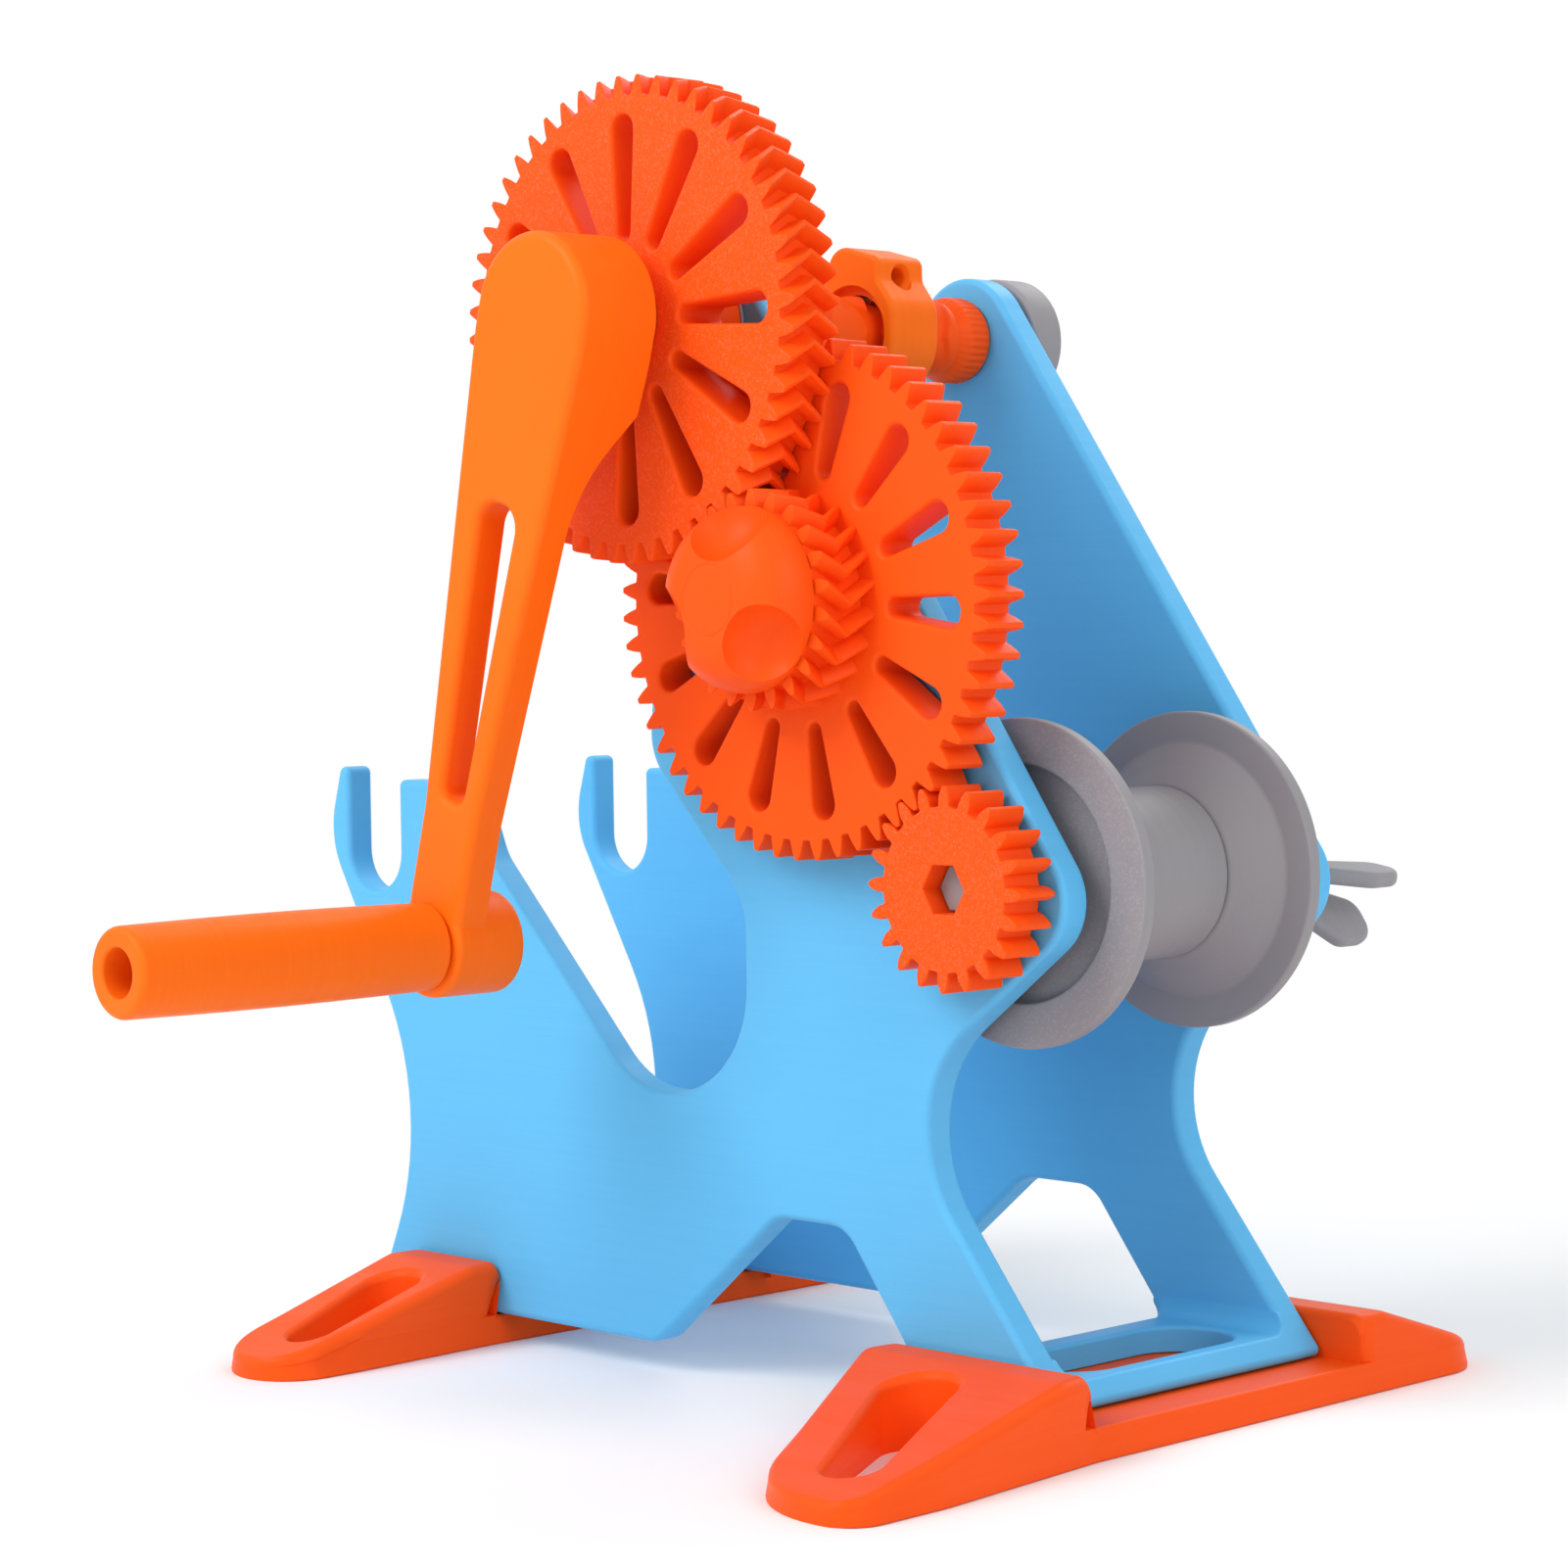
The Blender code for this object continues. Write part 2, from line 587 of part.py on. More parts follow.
def add_foot(name, middle, plan, lip_height, reaches, slot_widths, slot_shares):
    """Foot: a plan outline raised from the table, trimmed by its side outline, with two slots."""
    plan = wound(plan, True)
    high = SOLE_THICKNESS + lip_height + OVERRUN
    count = len(plan)
    points = [(x, y, 0.0) for x, y in inset(plan, FOOT_ROUND / 2)]
    points += [(x, y, FOOT_ROUND / 2) for x, y in plan]
    points += [(x, y, high) for x, y in plan]
    faces = [tuple(range(count)), tuple(range(2 * count, 3 * count))]
    for base in (0, count):
        faces += [(base + k, base + (k + 1) % count, base + count + (k + 1) % count, base + count + k)
                  for k in range(count)]
    foot = add_object(name, points, faces, (middle, 0, 0), ORANGE, 0.4)
    side = foot_side(lip_height, reaches[0], reaches[1])
    ends = (min(x for x, y in plan) - OVERRUN, max(x for x, y in plan) + OVERRUN)
    points = [(x, y, z) for x in ends for y, z in side]
    cut(foot, add_object(name + "_side", points, prism_faces(len(side)), (0, 0, 0), ORANGE), "INTERSECT")
    radii = (slot_widths[0] / 2, slot_widths[1] / 2)
    for label, wall, sign, reach in (("near", PLATE_NEAR_OUT, -1, reaches[0]),
                                     ("far", PLATE_FAR_OUT, 1, reaches[1])):
        run = reach - FOOT_SLOT_INSET - FOOT_SLOT_START
        start = (middle + slot_widths[1] * slot_shares[0], wall + sign * FOOT_SLOT_START)
        end = (start[0] + run * slot_shares[1], start[1] + sign * run)
        add_vertical_slot(foot, name + "_" + label + "_slot", start, end, radii, -OVERRUN, high)


def gear_levels(centre, teeth, phase, low, high, holes, twist=0.0):
    """Levels of a spur gear, or of a herringbone one when its middle is twisted."""
    stations = [(low, 0.0), (high, 0.0)]
    if twist:
        stations = [(low, 0.0), ((low + high) / 2, twist), (high, 0.0)]
    return [(y, [gear_loop(centre, teeth, phase + turn)] + [wound(hole, False) for hole in holes])
            for y, turn in stations]


def slot_ring(centre, teeth, count, inner, phase):
    """Ring of radial slots inside a gear."""
    outer = GEAR_MODULE * teeth / 2 - DEDENDUM_SHARE * GEAR_MODULE - GEAR_SLOT_MARGIN
    return [wound(radial_slot(centre, phase + 2 * math.pi * k / count, inner, outer,
                              GEAR_SLOT_NARROW, GEAR_SLOT_WIDE), False) for k in range(count)]


def compound_mesh(wheel, pinion, bore, slots, low, seam, high):
    """One solid of a small gear standing on a large one, with a common bore."""
    shell = Shell()
    slot_low = [shell.ring(seam, slot) for slot in slots]
    slot_high = [shell.ring(high, slot) for slot in slots]
    wheel_low = shell.ring(seam, wheel)
    wheel_high = shell.ring(high, wheel)
    bore_low = shell.ring(low, bore)
    bore_high = shell.ring(high, bore)
    shell.wall(wheel_low, wheel_high)
    shell.wall(bore_low, bore_high)
    for lower, upper in zip(slot_low, slot_high):
        shell.wall(lower, upper)
    rows = [shell.ring(y, loop) for y, loop in pinion]
    for lower, upper in zip(rows, rows[1:]):
        shell.wall(lower, upper)
    shell.cap([wheel_low, rows[-1]] + slot_low)
    shell.cap([wheel_high, bore_high] + slot_high)
    shell.cap([rows[0], bore_low])
    return shell.points, shell.faces


def add_gears():
    """Drive gear on the crank, compound gear on its stud and the spool gear on its axle."""
    twist = HERRINGBONE_WIDTH / 2 * math.tan(HELIX_ANGLE) / (GEAR_MODULE * PINION_TEETH / 2)
    drive_phase = DRIVE_DIRECTION + math.pi + math.pi / DRIVE_TEETH
    pinion_phase = DRIVE_DIRECTION
    wheel_phase = WHEEL_DIRECTION + math.pi + math.pi / WHEEL_TEETH
    spool_phase = WHEEL_DIRECTION

    holes = slot_ring(CRANK_AXIS, DRIVE_TEETH, DRIVE_SLOTS, DRIVE_SLOT_INNER, math.pi / 2)
    holes.append(circle(CRANK_AXIS, SHAFT_RADIUS + GAP, 20))
    drive = gear_levels(CRANK_AXIS, DRIVE_TEETH, drive_phase, HERRINGBONE_FRONT, HERRINGBONE_BACK,
                        holes, twist * PINION_TEETH / DRIVE_TEETH)
    points, faces = stacked_mesh(drive)
    add_object("drive_gear", points, faces, (CRANK_AXIS[0], 0, CRANK_AXIS[1]), ORANGE)

    bore = circle(STUD_AXIS, STUD_RADIUS + RUNNING_GAP, 20)
    slots = slot_ring(STUD_AXIS, WHEEL_TEETH, WHEEL_SLOTS, WHEEL_SLOT_INNER, math.radians(-4))
    pinion = [(y, gear_loop(STUD_AXIS, PINION_TEETH, pinion_phase + turn))
              for y, turn in ((HERRINGBONE_FRONT, 0.0),
                              ((HERRINGBONE_FRONT + HERRINGBONE_BACK) / 2, -twist),
                              (WHEEL_FRONT, 0.0))]
    points, faces = compound_mesh(gear_loop(STUD_AXIS, WHEEL_TEETH, wheel_phase), pinion, bore, slots,
                                  HERRINGBONE_FRONT, WHEEL_FRONT, WHEEL_BACK)
    add_object("compound_gear", points, faces, (STUD_AXIS[0], 0, STUD_AXIS[1]), ORANGE)

    hexagon = circle(SPOOL_AXIS, HEX_ACROSS_FLATS / 2 / math.cos(math.pi / 6) + GAP, 6)
    spool = stacked_mesh(gear_levels(SPOOL_AXIS, SPOOL_TEETH, spool_phase, WHEEL_FRONT, WHEEL_BACK,
                                     [hexagon]))
    add_object("spool_gear", spool[0], spool[1], (SPOOL_AXIS[0], 0, SPOOL_AXIS[1]), ORANGE)


def crank_outline():
    """Crank arm seen from the front, along its own length: (along, across, radius)."""
    end = CRANK_LENGTH
    waist = end - SMALL_END_RADIUS * 2.6
    neck = ARM_NECK_WIDTH / 2
    return [(-HUB_RADIUS, -HUB_RADIUS, HUB_RADIUS * 0.99), (HUB_RADIUS * 0.35, -HUB_RADIUS, HUB_RADIUS * 0.9),
            (waist, -neck, neck), (end, -SMALL_END_RADIUS * 1.06, SMALL_END_RADIUS * 0.6),
            (end + SMALL_END_RADIUS, -SMALL_END_RADIUS * 0.86, SMALL_END_RADIUS * 0.8),
            (end + SMALL_END_RADIUS, SMALL_END_RADIUS * 0.86, SMALL_END_RADIUS * 0.8),
            (end, SMALL_END_RADIUS * 1.06, SMALL_END_RADIUS * 0.6), (waist, neck, neck),
            (HUB_RADIUS * 0.35, HUB_RADIUS, HUB_RADIUS * 0.9), (-HUB_RADIUS, HUB_RADIUS, HUB_RADIUS * 0.99)]


def crank_side():
    """Crank arm seen from the side: (along, y) with its thick hub, thin arm and thick small end."""
    end = CRANK_LENGTH
    front = HUB_FRONT - OVERRUN
    arm_back = HUB_FRONT + ARM_THICKNESS
    boss_back = HUB_FRONT + SMALL_END_THICKNESS
    start = -HUB_RADIUS - OVERRUN
    stop = end + SMALL_END_RADIUS + OVERRUN
    return rounded_outline([
        (start, front, 0), (start, HUB_BACK + OVERRUN, 0),
        (HUB_RADIUS * 0.85, HUB_BACK + OVERRUN, 0),
        (HUB_RADIUS * 1.95, arm_back, HUB_RADIUS * 2.0),
        (end - SMALL_END_RADIUS * 2.1, arm_back, HUB_RADIUS * 0.7),
        (end - SMALL_END_RADIUS * 0.9, boss_back, EDGE_ROUND),
        (stop, boss_back, 0), (stop, front, 0)], math.radians(15))


def crank_place(along, across):
    """Place (x, z) in the common frame of a place on the crank arm."""
    c = math.cos(CRANK_LEAN)
    s = math.sin(CRANK_LEAN)
    return (CRANK_AXIS[0] + along * c - across * s, CRANK_AXIS[1] + along * s + across * c)


def add_crank():
    """Crank arm with its slot, the pin at its small end and the turning handle."""
    outer = [crank_place(a, b) for a, b in rounded_outline(crank_outline(), math.radians(18))]
    start = HUB_RADIUS * 2.35
    reach = CRANK_LENGTH - SMALL_END_RADIUS * 2.9
    top = CRANK_SLOT_TOP_WIDTH / 2
    bottom = CRANK_SLOT_END_WIDTH / 2
    slot = [crank_place(a, b) for a, b in rounded_outline([
        (start, -top, top * 0.84), (start, top, top * 0.84),
        (reach, bottom, bottom * 0.84), (reach, -bottom, bottom * 0.84)], math.radians(30))]
    bore = wound(circle(HANDLE_AXIS, CRANK_PIN_RADIUS + GAP, 14), False)
    levels = [(y, loops + [bore])
              for y, loops in rounded_levels(outer, [slot], HUB_FRONT, HUB_BACK, CRANK_CHAMFER, 0)]
    points, faces = stacked_mesh(levels)
    arm = add_object("crank_arm", points, faces, (CRANK_AXIS[0], 0, CRANK_AXIS[1]), AMBER)
    side = crank_side()
    points = []
    for across in (-HUB_RADIUS - OVERRUN, HUB_RADIUS + OVERRUN):
        for along, y in side:
            x, z = crank_place(along, across)
            points.append((x, y, z))
    cut(arm, add_object("crank_side", points, prism_faces(len(side)), (0, 0, 0), AMBER), "INTERSECT")
    socket = SHAFT_RADIUS + GAP
    open_end = HUB_BACK + OVERRUN
    points, faces = turned_mesh(CRANK_AXIS, [(0, SOCKET_FLOOR), (socket, SOCKET_FLOOR),
                                            (socket, open_end), (0, open_end)], 20)
    cut(arm, add_object("crank_socket", points, faces, (0, 0, 0), AMBER))

    base = HUB_FRONT - RUNNING_GAP
    tip = base - HANDLE_LENGTH
    seat = base - CRANK_PIN_LENGTH + CRANK_PIN_HEAD_LENGTH
    loose = CRANK_PIN_RADIUS + RUNNING_GAP
    chamfer = EDGE_ROUND * 0.5
    grip = [(loose, base), (HANDLE_RADIUS - chamfer, base), (HANDLE_RADIUS, base - chamfer),
            (HANDLE_TIP_RADIUS, (base + tip) / 2), (HANDLE_RADIUS, tip + EDGE_ROUND),
            (HANDLE_RADIUS - chamfer, tip), (HANDLE_BORE + chamfer, tip),
            (HANDLE_BORE, tip + chamfer), (HANDLE_BORE, seat), (loose, seat)]
    points, faces = turned_mesh(HANDLE_AXIS, grip, 28)
    add_object("crank_handle", points, faces, (HANDLE_AXIS[0], 0, HANDLE_AXIS[1]), AMBER)

    under_head = seat - RUNNING_GAP
    head = under_head - CRANK_PIN_HEAD_LENGTH
    washer = HUB_FRONT + SMALL_END_THICKNESS + GAP
    end = washer + PIN_WASHER_LENGTH
    pin = [(0, head), (CRANK_PIN_HEAD_RADIUS, head), (CRANK_PIN_HEAD_RADIUS, under_head),
           (CRANK_PIN_RADIUS, under_head), (CRANK_PIN_RADIUS, washer), (PIN_WASHER_RADIUS, washer),
           (PIN_WASHER_RADIUS, end), (0, end)]
    points, faces = turned_mesh(HANDLE_AXIS, pin, 14)
    add_object("crank_pin", points, faces, (HANDLE_AXIS[0], 0, HANDLE_AXIS[1]), AMBER)


def add_bush(name, centre, shaft, wall_low, wall_high, flange_side):
    """Flanged plain bush seated in a plate bore."""
    bore = shaft + RUNNING_GAP
    outer = bore + BUSH_WALL
    rim = outer + BUSH_FLANGE_WIDTH
    if flange_side < 0:
        face = wall_low - GAP
        profile = [(bore, wall_high), (outer, wall_high), (outer, face), (rim, face),
                   (rim, face - BUSH_FLANGE + GAP), (bore, face - BUSH_FLANGE + GAP)]
    else:
        face = wall_high + GAP
        profile = [(bore, wall_low), (outer, wall_low), (outer, face), (rim, face),
                   (rim, face + BUSH_FLANGE - GAP), (bore, face + BUSH_FLANGE - GAP)]
    points, faces = turned_mesh(centre, profile, 20)
    add_object(name, points, faces, (centre[0], 0, centre[1]), GREY)


def groove_depth(angle, y, pitch):
    """Share of full depth of the two crossing grooves of the reversing screw at a surface place."""
    depth = 0.0
    for hand in (1, -1):
        phase = (hand * y / pitch - angle / (2 * math.pi)) % 1.0
        away = abs(phase - 0.5) * 2
        depth = max(depth, min(1.0, max(0.0, (away - SCREW_LAND_SHARE) / (1 - SCREW_LAND_SHARE) * 2.2)))
    return depth


def add_traverse_screw():
    """Reversing screw with two crossing grooves, in one piece with the shaft through the drive gear."""
    start = SOCKET_FLOOR + GAP
    low = SCREW_START
    high = SCREW_END
    end = PLATE_FAR_OUT + BUSH_FLANGE + END_KNOB_LENGTH
    around = 24
    rows = 26
    rings = [[(SHAFT_RADIUS, start)] * around, [(SHAFT_RADIUS, low)] * around]
    for row in range(rows + 1):
        y = low + (high - low) * row / rows
        fade = min(1.0, min(row, rows - row) / 2)
        ring = []
        for k in range(around):
            depth = groove_depth(2 * math.pi * k / around, y, SCREW_LEAD) * fade
            ring.append((SCREW_RADIUS + (SCREW_ROOT_RADIUS - SCREW_RADIUS) * depth, y))
        rings.append(ring)
    rings += [[(SHAFT_RADIUS, high)] * around, [(SHAFT_RADIUS, end)] * around]
    points = []
    for ring in rings:
        for k, (radius, y) in enumerate(ring):
            angle = 2 * math.pi * k / around
            points.append((CRANK_AXIS[0] + radius * math.cos(angle), y, CRANK_AXIS[1] + radius * math.sin(angle)))
    faces = [tuple(range(around)), tuple(range(len(points) - around, len(points)))]
    for level in range(len(rings) - 1):
        base = level * around
        faces += [(base + k, base + (k + 1) % around, base + around + (k + 1) % around, base + around + k)
                  for k in range(around)]
    add_object("traverse_screw", points, faces, (CRANK_AXIS[0], 0, CRANK_AXIS[1]), ORANGE)

    inner = SHAFT_RADIUS + GAP
    collar_low = high + GAP
    collar_high = PLATE_FAR_IN - RUNNING_GAP
    step = COLLAR_RADIUS - EDGE_ROUND
    profile = [(inner, collar_low), (step, collar_low), (COLLAR_RADIUS, collar_low + EDGE_ROUND * 1.6),
               (COLLAR_RADIUS, collar_high - EDGE_ROUND * 0.6), (COLLAR_RADIUS - EDGE_ROUND * 0.6, collar_high),
               (inner, collar_high)]
    points, faces = turned_mesh(CRANK_AXIS, profile, COLLAR_KNURLS)
    add_object("screw_collar", points, faces, (CRANK_AXIS[0], 0, CRANK_AXIS[1]), ORANGE)

    knob_low = PLATE_FAR_OUT + BUSH_FLANGE + RUNNING_GAP
    knob_high = knob_low + END_KNOB_LENGTH
    knob = [(inner, knob_low), (END_KNOB_RADIUS, knob_low), (END_KNOB_RADIUS, knob_high - EDGE_ROUND),
            (END_KNOB_RADIUS - EDGE_ROUND, knob_high + EDGE_ROUND * 0.3), (0, knob_high + EDGE_ROUND * 0.3),
            (0, end + GAP), (inner, end + GAP)]
    points, faces = turned_mesh(CRANK_AXIS, knob, 24)
    add_object("screw_end_knob", points, faces, (CRANK_AXIS[0], 0, CRANK_AXIS[1]), GREY)

    add_sleeve("crank_spacer", CRANK_AXIS, inner, HUB_BACK + GAP, HERRINGBONE_FRONT - GAP, ORANGE)
    add_sleeve("drive_gear_sleeve", CRANK_AXIS, inner, HERRINGBONE_BACK + GAP, WHEEL_BACK, ORANGE)


def add_sleeve(name, centre, inner, low, high, colour):
    """Plain spacer sleeve between two neighbours on a shaft."""
    outer = inner + BUSH_WALL * 2
    points, faces = turned_mesh(centre, [(inner, low), (outer, low), (outer, high), (inner, high)], 20)
    add_object(name, points, faces, (centre[0], 0, centre[1]), colour)


def add_stud():
    """Fixed stud of the compound gear with its inner head, and the domed knob that holds the gear."""
    inner_head = PLATE_NEAR_IN + BUSH_FLANGE
    knob_back = HERRINGBONE_FRONT - RUNNING_GAP
    tip = knob_back - KNOB_HEIGHT * 0.5
    stud = [(0, tip), (STUD_RADIUS, tip), (STUD_RADIUS, PLATE_NEAR_IN + GAP),
            (STUD_RADIUS + BUSH_WALL, PLATE_NEAR_IN + GAP), (STUD_RADIUS + BUSH_WALL, inner_head), (0, inner_head)]
    points, faces = turned_mesh(STUD_AXIS, stud, 20)
    add_object("gear_stud", points, faces, (STUD_AXIS[0], 0, STUD_AXIS[1]), GREY)

    rows = 6
    around = 30
    inner = STUD_RADIUS + GAP
    points = []
    shape = [(inner, knob_back, 0.0), (KNOB_RADIUS - EDGE_ROUND * 0.3, knob_back, 0.0),
             (KNOB_RADIUS, knob_back - EDGE_ROUND * 0.3, 0.0), (KNOB_RADIUS, knob_back - EDGE_ROUND * 0.9, 0.0)]
    for row in range(1, rows + 1):
        share = row / rows
        bulge = math.cos(share * math.pi / 2)
        radius = KNOB_DOME_RADIUS + (KNOB_RADIUS * 0.97 - KNOB_DOME_RADIUS) * bulge ** 0.8
        y = knob_back - EDGE_ROUND * 0.9 - (KNOB_HEIGHT - EDGE_ROUND * 0.9) * share
        shape.append((radius, y, math.sin(share * math.pi) ** 0.7 * 0.26))
    rings = len(shape)
    for radius, y, dent in shape:
        for k in range(around):
            angle = 2 * math.pi * k / around
            wave = max(0.0, math.cos(KNOB_DENTS * (angle + math.radians(38)))) ** 1.4
            size = radius * (1 - dent * wave)
            points.append((STUD_AXIS[0] + size * math.cos(angle), y, STUD_AXIS[1] + size * math.sin(angle)))
    faces = []
    for level in range(rings - 1):
        base = level * around
        faces += [(base + k, base + (k + 1) % around, base + around + (k + 1) % around, base + around + k)
                  for k in range(around)]
    faces.append(tuple(range((rings - 1) * around, rings * around)))
    floor = tip - GAP
    base = len(points)
    points.extend((x, floor, z) for x, z in circle(STUD_AXIS, inner, around))
    faces += [(k, (k + 1) % around, base + (k + 1) % around, base + k) for k in range(around)]
    faces.append(tuple(range(base, base + around)))
    add_object("gear_knob", points, faces, (STUD_AXIS[0], 0, STUD_AXIS[1]), ORANGE)


def guide_outline():
    """Guide block seen along the screw: barrel, sloping head at the front, pawl boss at the back."""
    x, z = CRANK_AXIS
    outer = SCREW_RADIUS + RUNNING_GAP + GUIDE_WALL
    boss = PAWL_CAP_RADIUS + GUIDE_ROUND * 0.5
    front = x + GUIDE_FRONT_REACH
    return rounded_outline([
        (x - outer * 0.62, z - outer, outer * 0.6), (x + outer, z - outer, outer * 0.95),
        (x + outer, z + outer * 0.45, outer * 0.5), (front, z + outer * 0.90, GUIDE_ROUND),
        (front, z + GUIDE_FRONT_HEIGHT, GUIDE_ROUND),
        (x - outer * 0.35, z + GUIDE_HEAD_HEIGHT, GUIDE_ROUND * 2), (x - outer * 0.85, z + boss, GUIDE_ROUND),
        (x - PAWL_BOSS_REACH, z + boss, GUIDE_ROUND * 0.8), (x - PAWL_BOSS_REACH, z - boss, GUIDE_ROUND * 0.8),
        (x - outer, z - boss, GUIDE_ROUND)], math.radians(24))


def cylinder_along_x(name, centre, radius, low, high, count=14):
    """Plain cylinder along X, for a cutter or a pin."""
    points = []
    for x in (low, high):
        points.extend((x, centre[0] + radius * math.cos(2 * math.pi * k / count),
                       centre[1] + radius * math.sin(2 * math.pi * k / count)) for k in range(count))
    return add_object(name, points, prism_faces(count), (high, centre[0], centre[1]), AMBER)


def add_guide():
    """Filament guide on the reversing screw, with its pawl and the cap that holds the pawl."""
    x, z = CRANK_AXIS
    bore = wound(circle(CRANK_AXIS, SCREW_RADIUS + RUNNING_GAP, 24), False)
    edge = GUIDE_ROUND * 0.4
    levels = [(y, loops + [bore]) for y, loops in rounded_levels(
        guide_outline(), [], GUIDE_START, GUIDE_START + GUIDE_LENGTH, edge, edge)]
    points, faces = stacked_mesh(levels)
    block = add_object("guide_block", points, faces, (x, GUIDE_MIDDLE, z), AMBER)
    reach = x - PAWL_BOSS_REACH - OVERRUN
    hole = cylinder_along_x("eyelet_hole", (GUIDE_MIDDLE, z + GUIDE_FRONT_HEIGHT * 0.75), EYELET_RADIUS,
                            reach, x + GUIDE_FRONT_REACH + OVERRUN * 2, 12)
    cut(block, hole)
    cut(block, cylinder_along_x("pawl_hole", (GUIDE_MIDDLE, z), PAWL_RADIUS + GAP, reach, x))
    inner = x - SCREW_RADIUS - RUNNING_GAP
    cap_face = x - PAWL_BOSS_REACH - GAP
    plug = cap_face + GAP + PAWL_CAP_PLUG
    cylinder_along_x("guide_pawl", (GUIDE_MIDDLE, z), PAWL_RADIUS, plug + GAP, inner)
    add_pawl_cap(cap_face, plug, (GUIDE_MIDDLE, z))


def add_pawl_cap(face, plug, centre):
    """Cap with a plug that closes the pawl hole from behind."""
    count = 14
    points = []
    rings = ((face - PAWL_CAP_LENGTH, PAWL_CAP_RADIUS), (face, PAWL_CAP_RADIUS),
             (face, PAWL_RADIUS), (plug, PAWL_RADIUS))
    for x, radius in rings:
        points.extend((x, centre[0] + radius * math.cos(2 * math.pi * k / count),
                       centre[1] + radius * math.sin(2 * math.pi * k / count)) for k in range(count))
    last = len(points) - count
    faces = [tuple(range(count)), tuple(range(last, last + count))]
    for base in range(0, last, count):
        faces += [(base + k, base + (k + 1) % count, base + count + (k + 1) % count, base + count + k)
                  for k in range(count)]
    add_object("pawl_cap", points, faces, (face, centre[0], centre[1]), AMBER)


def hexagon_point(angle):
    """Distance from the centre to the side of the axle's hexagon at an angle from a corner."""
    fold = angle % (math.pi / 3) - math.pi / 6
    return HEX_ACROSS_FLATS / 2 / math.cos(fold)


def add_cones():
    """Two flanged cones on the spool axle, the axle itself and its thumb nut."""
    near_back = PLATE_NEAR_IN + FLANGE_INSET
    near_face = near_back + FLANGE_THICKNESS
    far_face = PLATE_FAR_IN - FAR_FLANGE_INSET - FLANGE_THICKNESS
    far_back = far_face + FLANGE_THICKNESS
    x, z = SPOOL_AXIS
    pivot = (x, 0, z)
    bevel = FLANGE_THICKNESS * 0.18
    bore = AXLE_RADIUS + GAP
    cone_end = near_face + CONE_LENGTH
    core_end = far_face - CONE_LENGTH - GAP
    core_wall = CORE_RADIUS - BUSH_WALL
    near = [(bore, near_back + RECESS_DEPTH), (RECESS_RADIUS, near_back + RECESS_DEPTH),
            (RECESS_RADIUS, near_back), (FLANGE_RADIUS - bevel, near_back), (FLANGE_RADIUS, near_back + bevel),
            (FLANGE_RADIUS, near_face - bevel), (FLANGE_RADIUS - bevel, near_face),
            (CONE_RADIUS, near_face), (CORE_RADIUS, cone_end), (CORE_RADIUS, core_end),
            (core_wall, core_end), (core_wall, cone_end), (bore, cone_end)]
    points, faces = turned_mesh(SPOOL_AXIS, near, 40)
    add_object("near_cone", points, faces, pivot, GREY)
    hub_end = PLATE_FAR_IN - RUNNING_GAP
    hub = bore + BUSH_WALL * 2
    hub_foot = far_back - RECESS_DEPTH
    far = [(bore, far_face - CONE_LENGTH), (CORE_RADIUS, far_face - CONE_LENGTH), (CONE_RADIUS, far_face),
           (FLANGE_RADIUS - bevel, far_face), (FLANGE_RADIUS, far_face + bevel), (FLANGE_RADIUS, far_back - bevel),
           (FLANGE_RADIUS - bevel, far_back), (RECESS_RADIUS, far_back),
           (RECESS_RADIUS, hub_foot), (hub, hub_foot), (hub, hub_end), (bore, hub_end)]
    points, faces = turned_mesh(SPOOL_AXIS, far, 40)
    add_object("far_cone", points, faces, pivot, GREY)
    add_sleeve("axle_spacer", SPOOL_AXIS, bore, PLATE_NEAR_IN + GAP, near_back + RECESS_DEPTH - GAP, GREY)

    count = 24
    thread_end = PLATE_FAR_OUT + BUSH_FLANGE
    axle_end = thread_end + RUNNING_GAP + NUT_HUB_LENGTH + OVERRUN
    sides = []
    for k in range(count):
        angle = 2 * math.pi * k / count
        reach = hexagon_point(angle)
        sides.append((x + reach * math.cos(angle), z + reach * math.sin(angle)))
    round_loop = circle(SPOOL_AXIS, AXLE_RADIUS, count)
    thread_loop = circle(SPOOL_AXIS, AXLE_THREAD_RADIUS, count)
    levels = [(WHEEL_FRONT + WHEEL_WIDTH * 0.45, sides), (WHEEL_BACK + RUNNING_GAP, sides),
              (WHEEL_BACK + RUNNING_GAP, round_loop), (thread_end, round_loop),
              (thread_end, thread_loop), (axle_end, thread_loop)]
    points, faces = stacked_mesh([(y, [loop]) for y, loop in levels])
    add_object("spool_axle", points, faces, pivot, GREY)
    add_thumb_nut(thread_end + RUNNING_GAP)


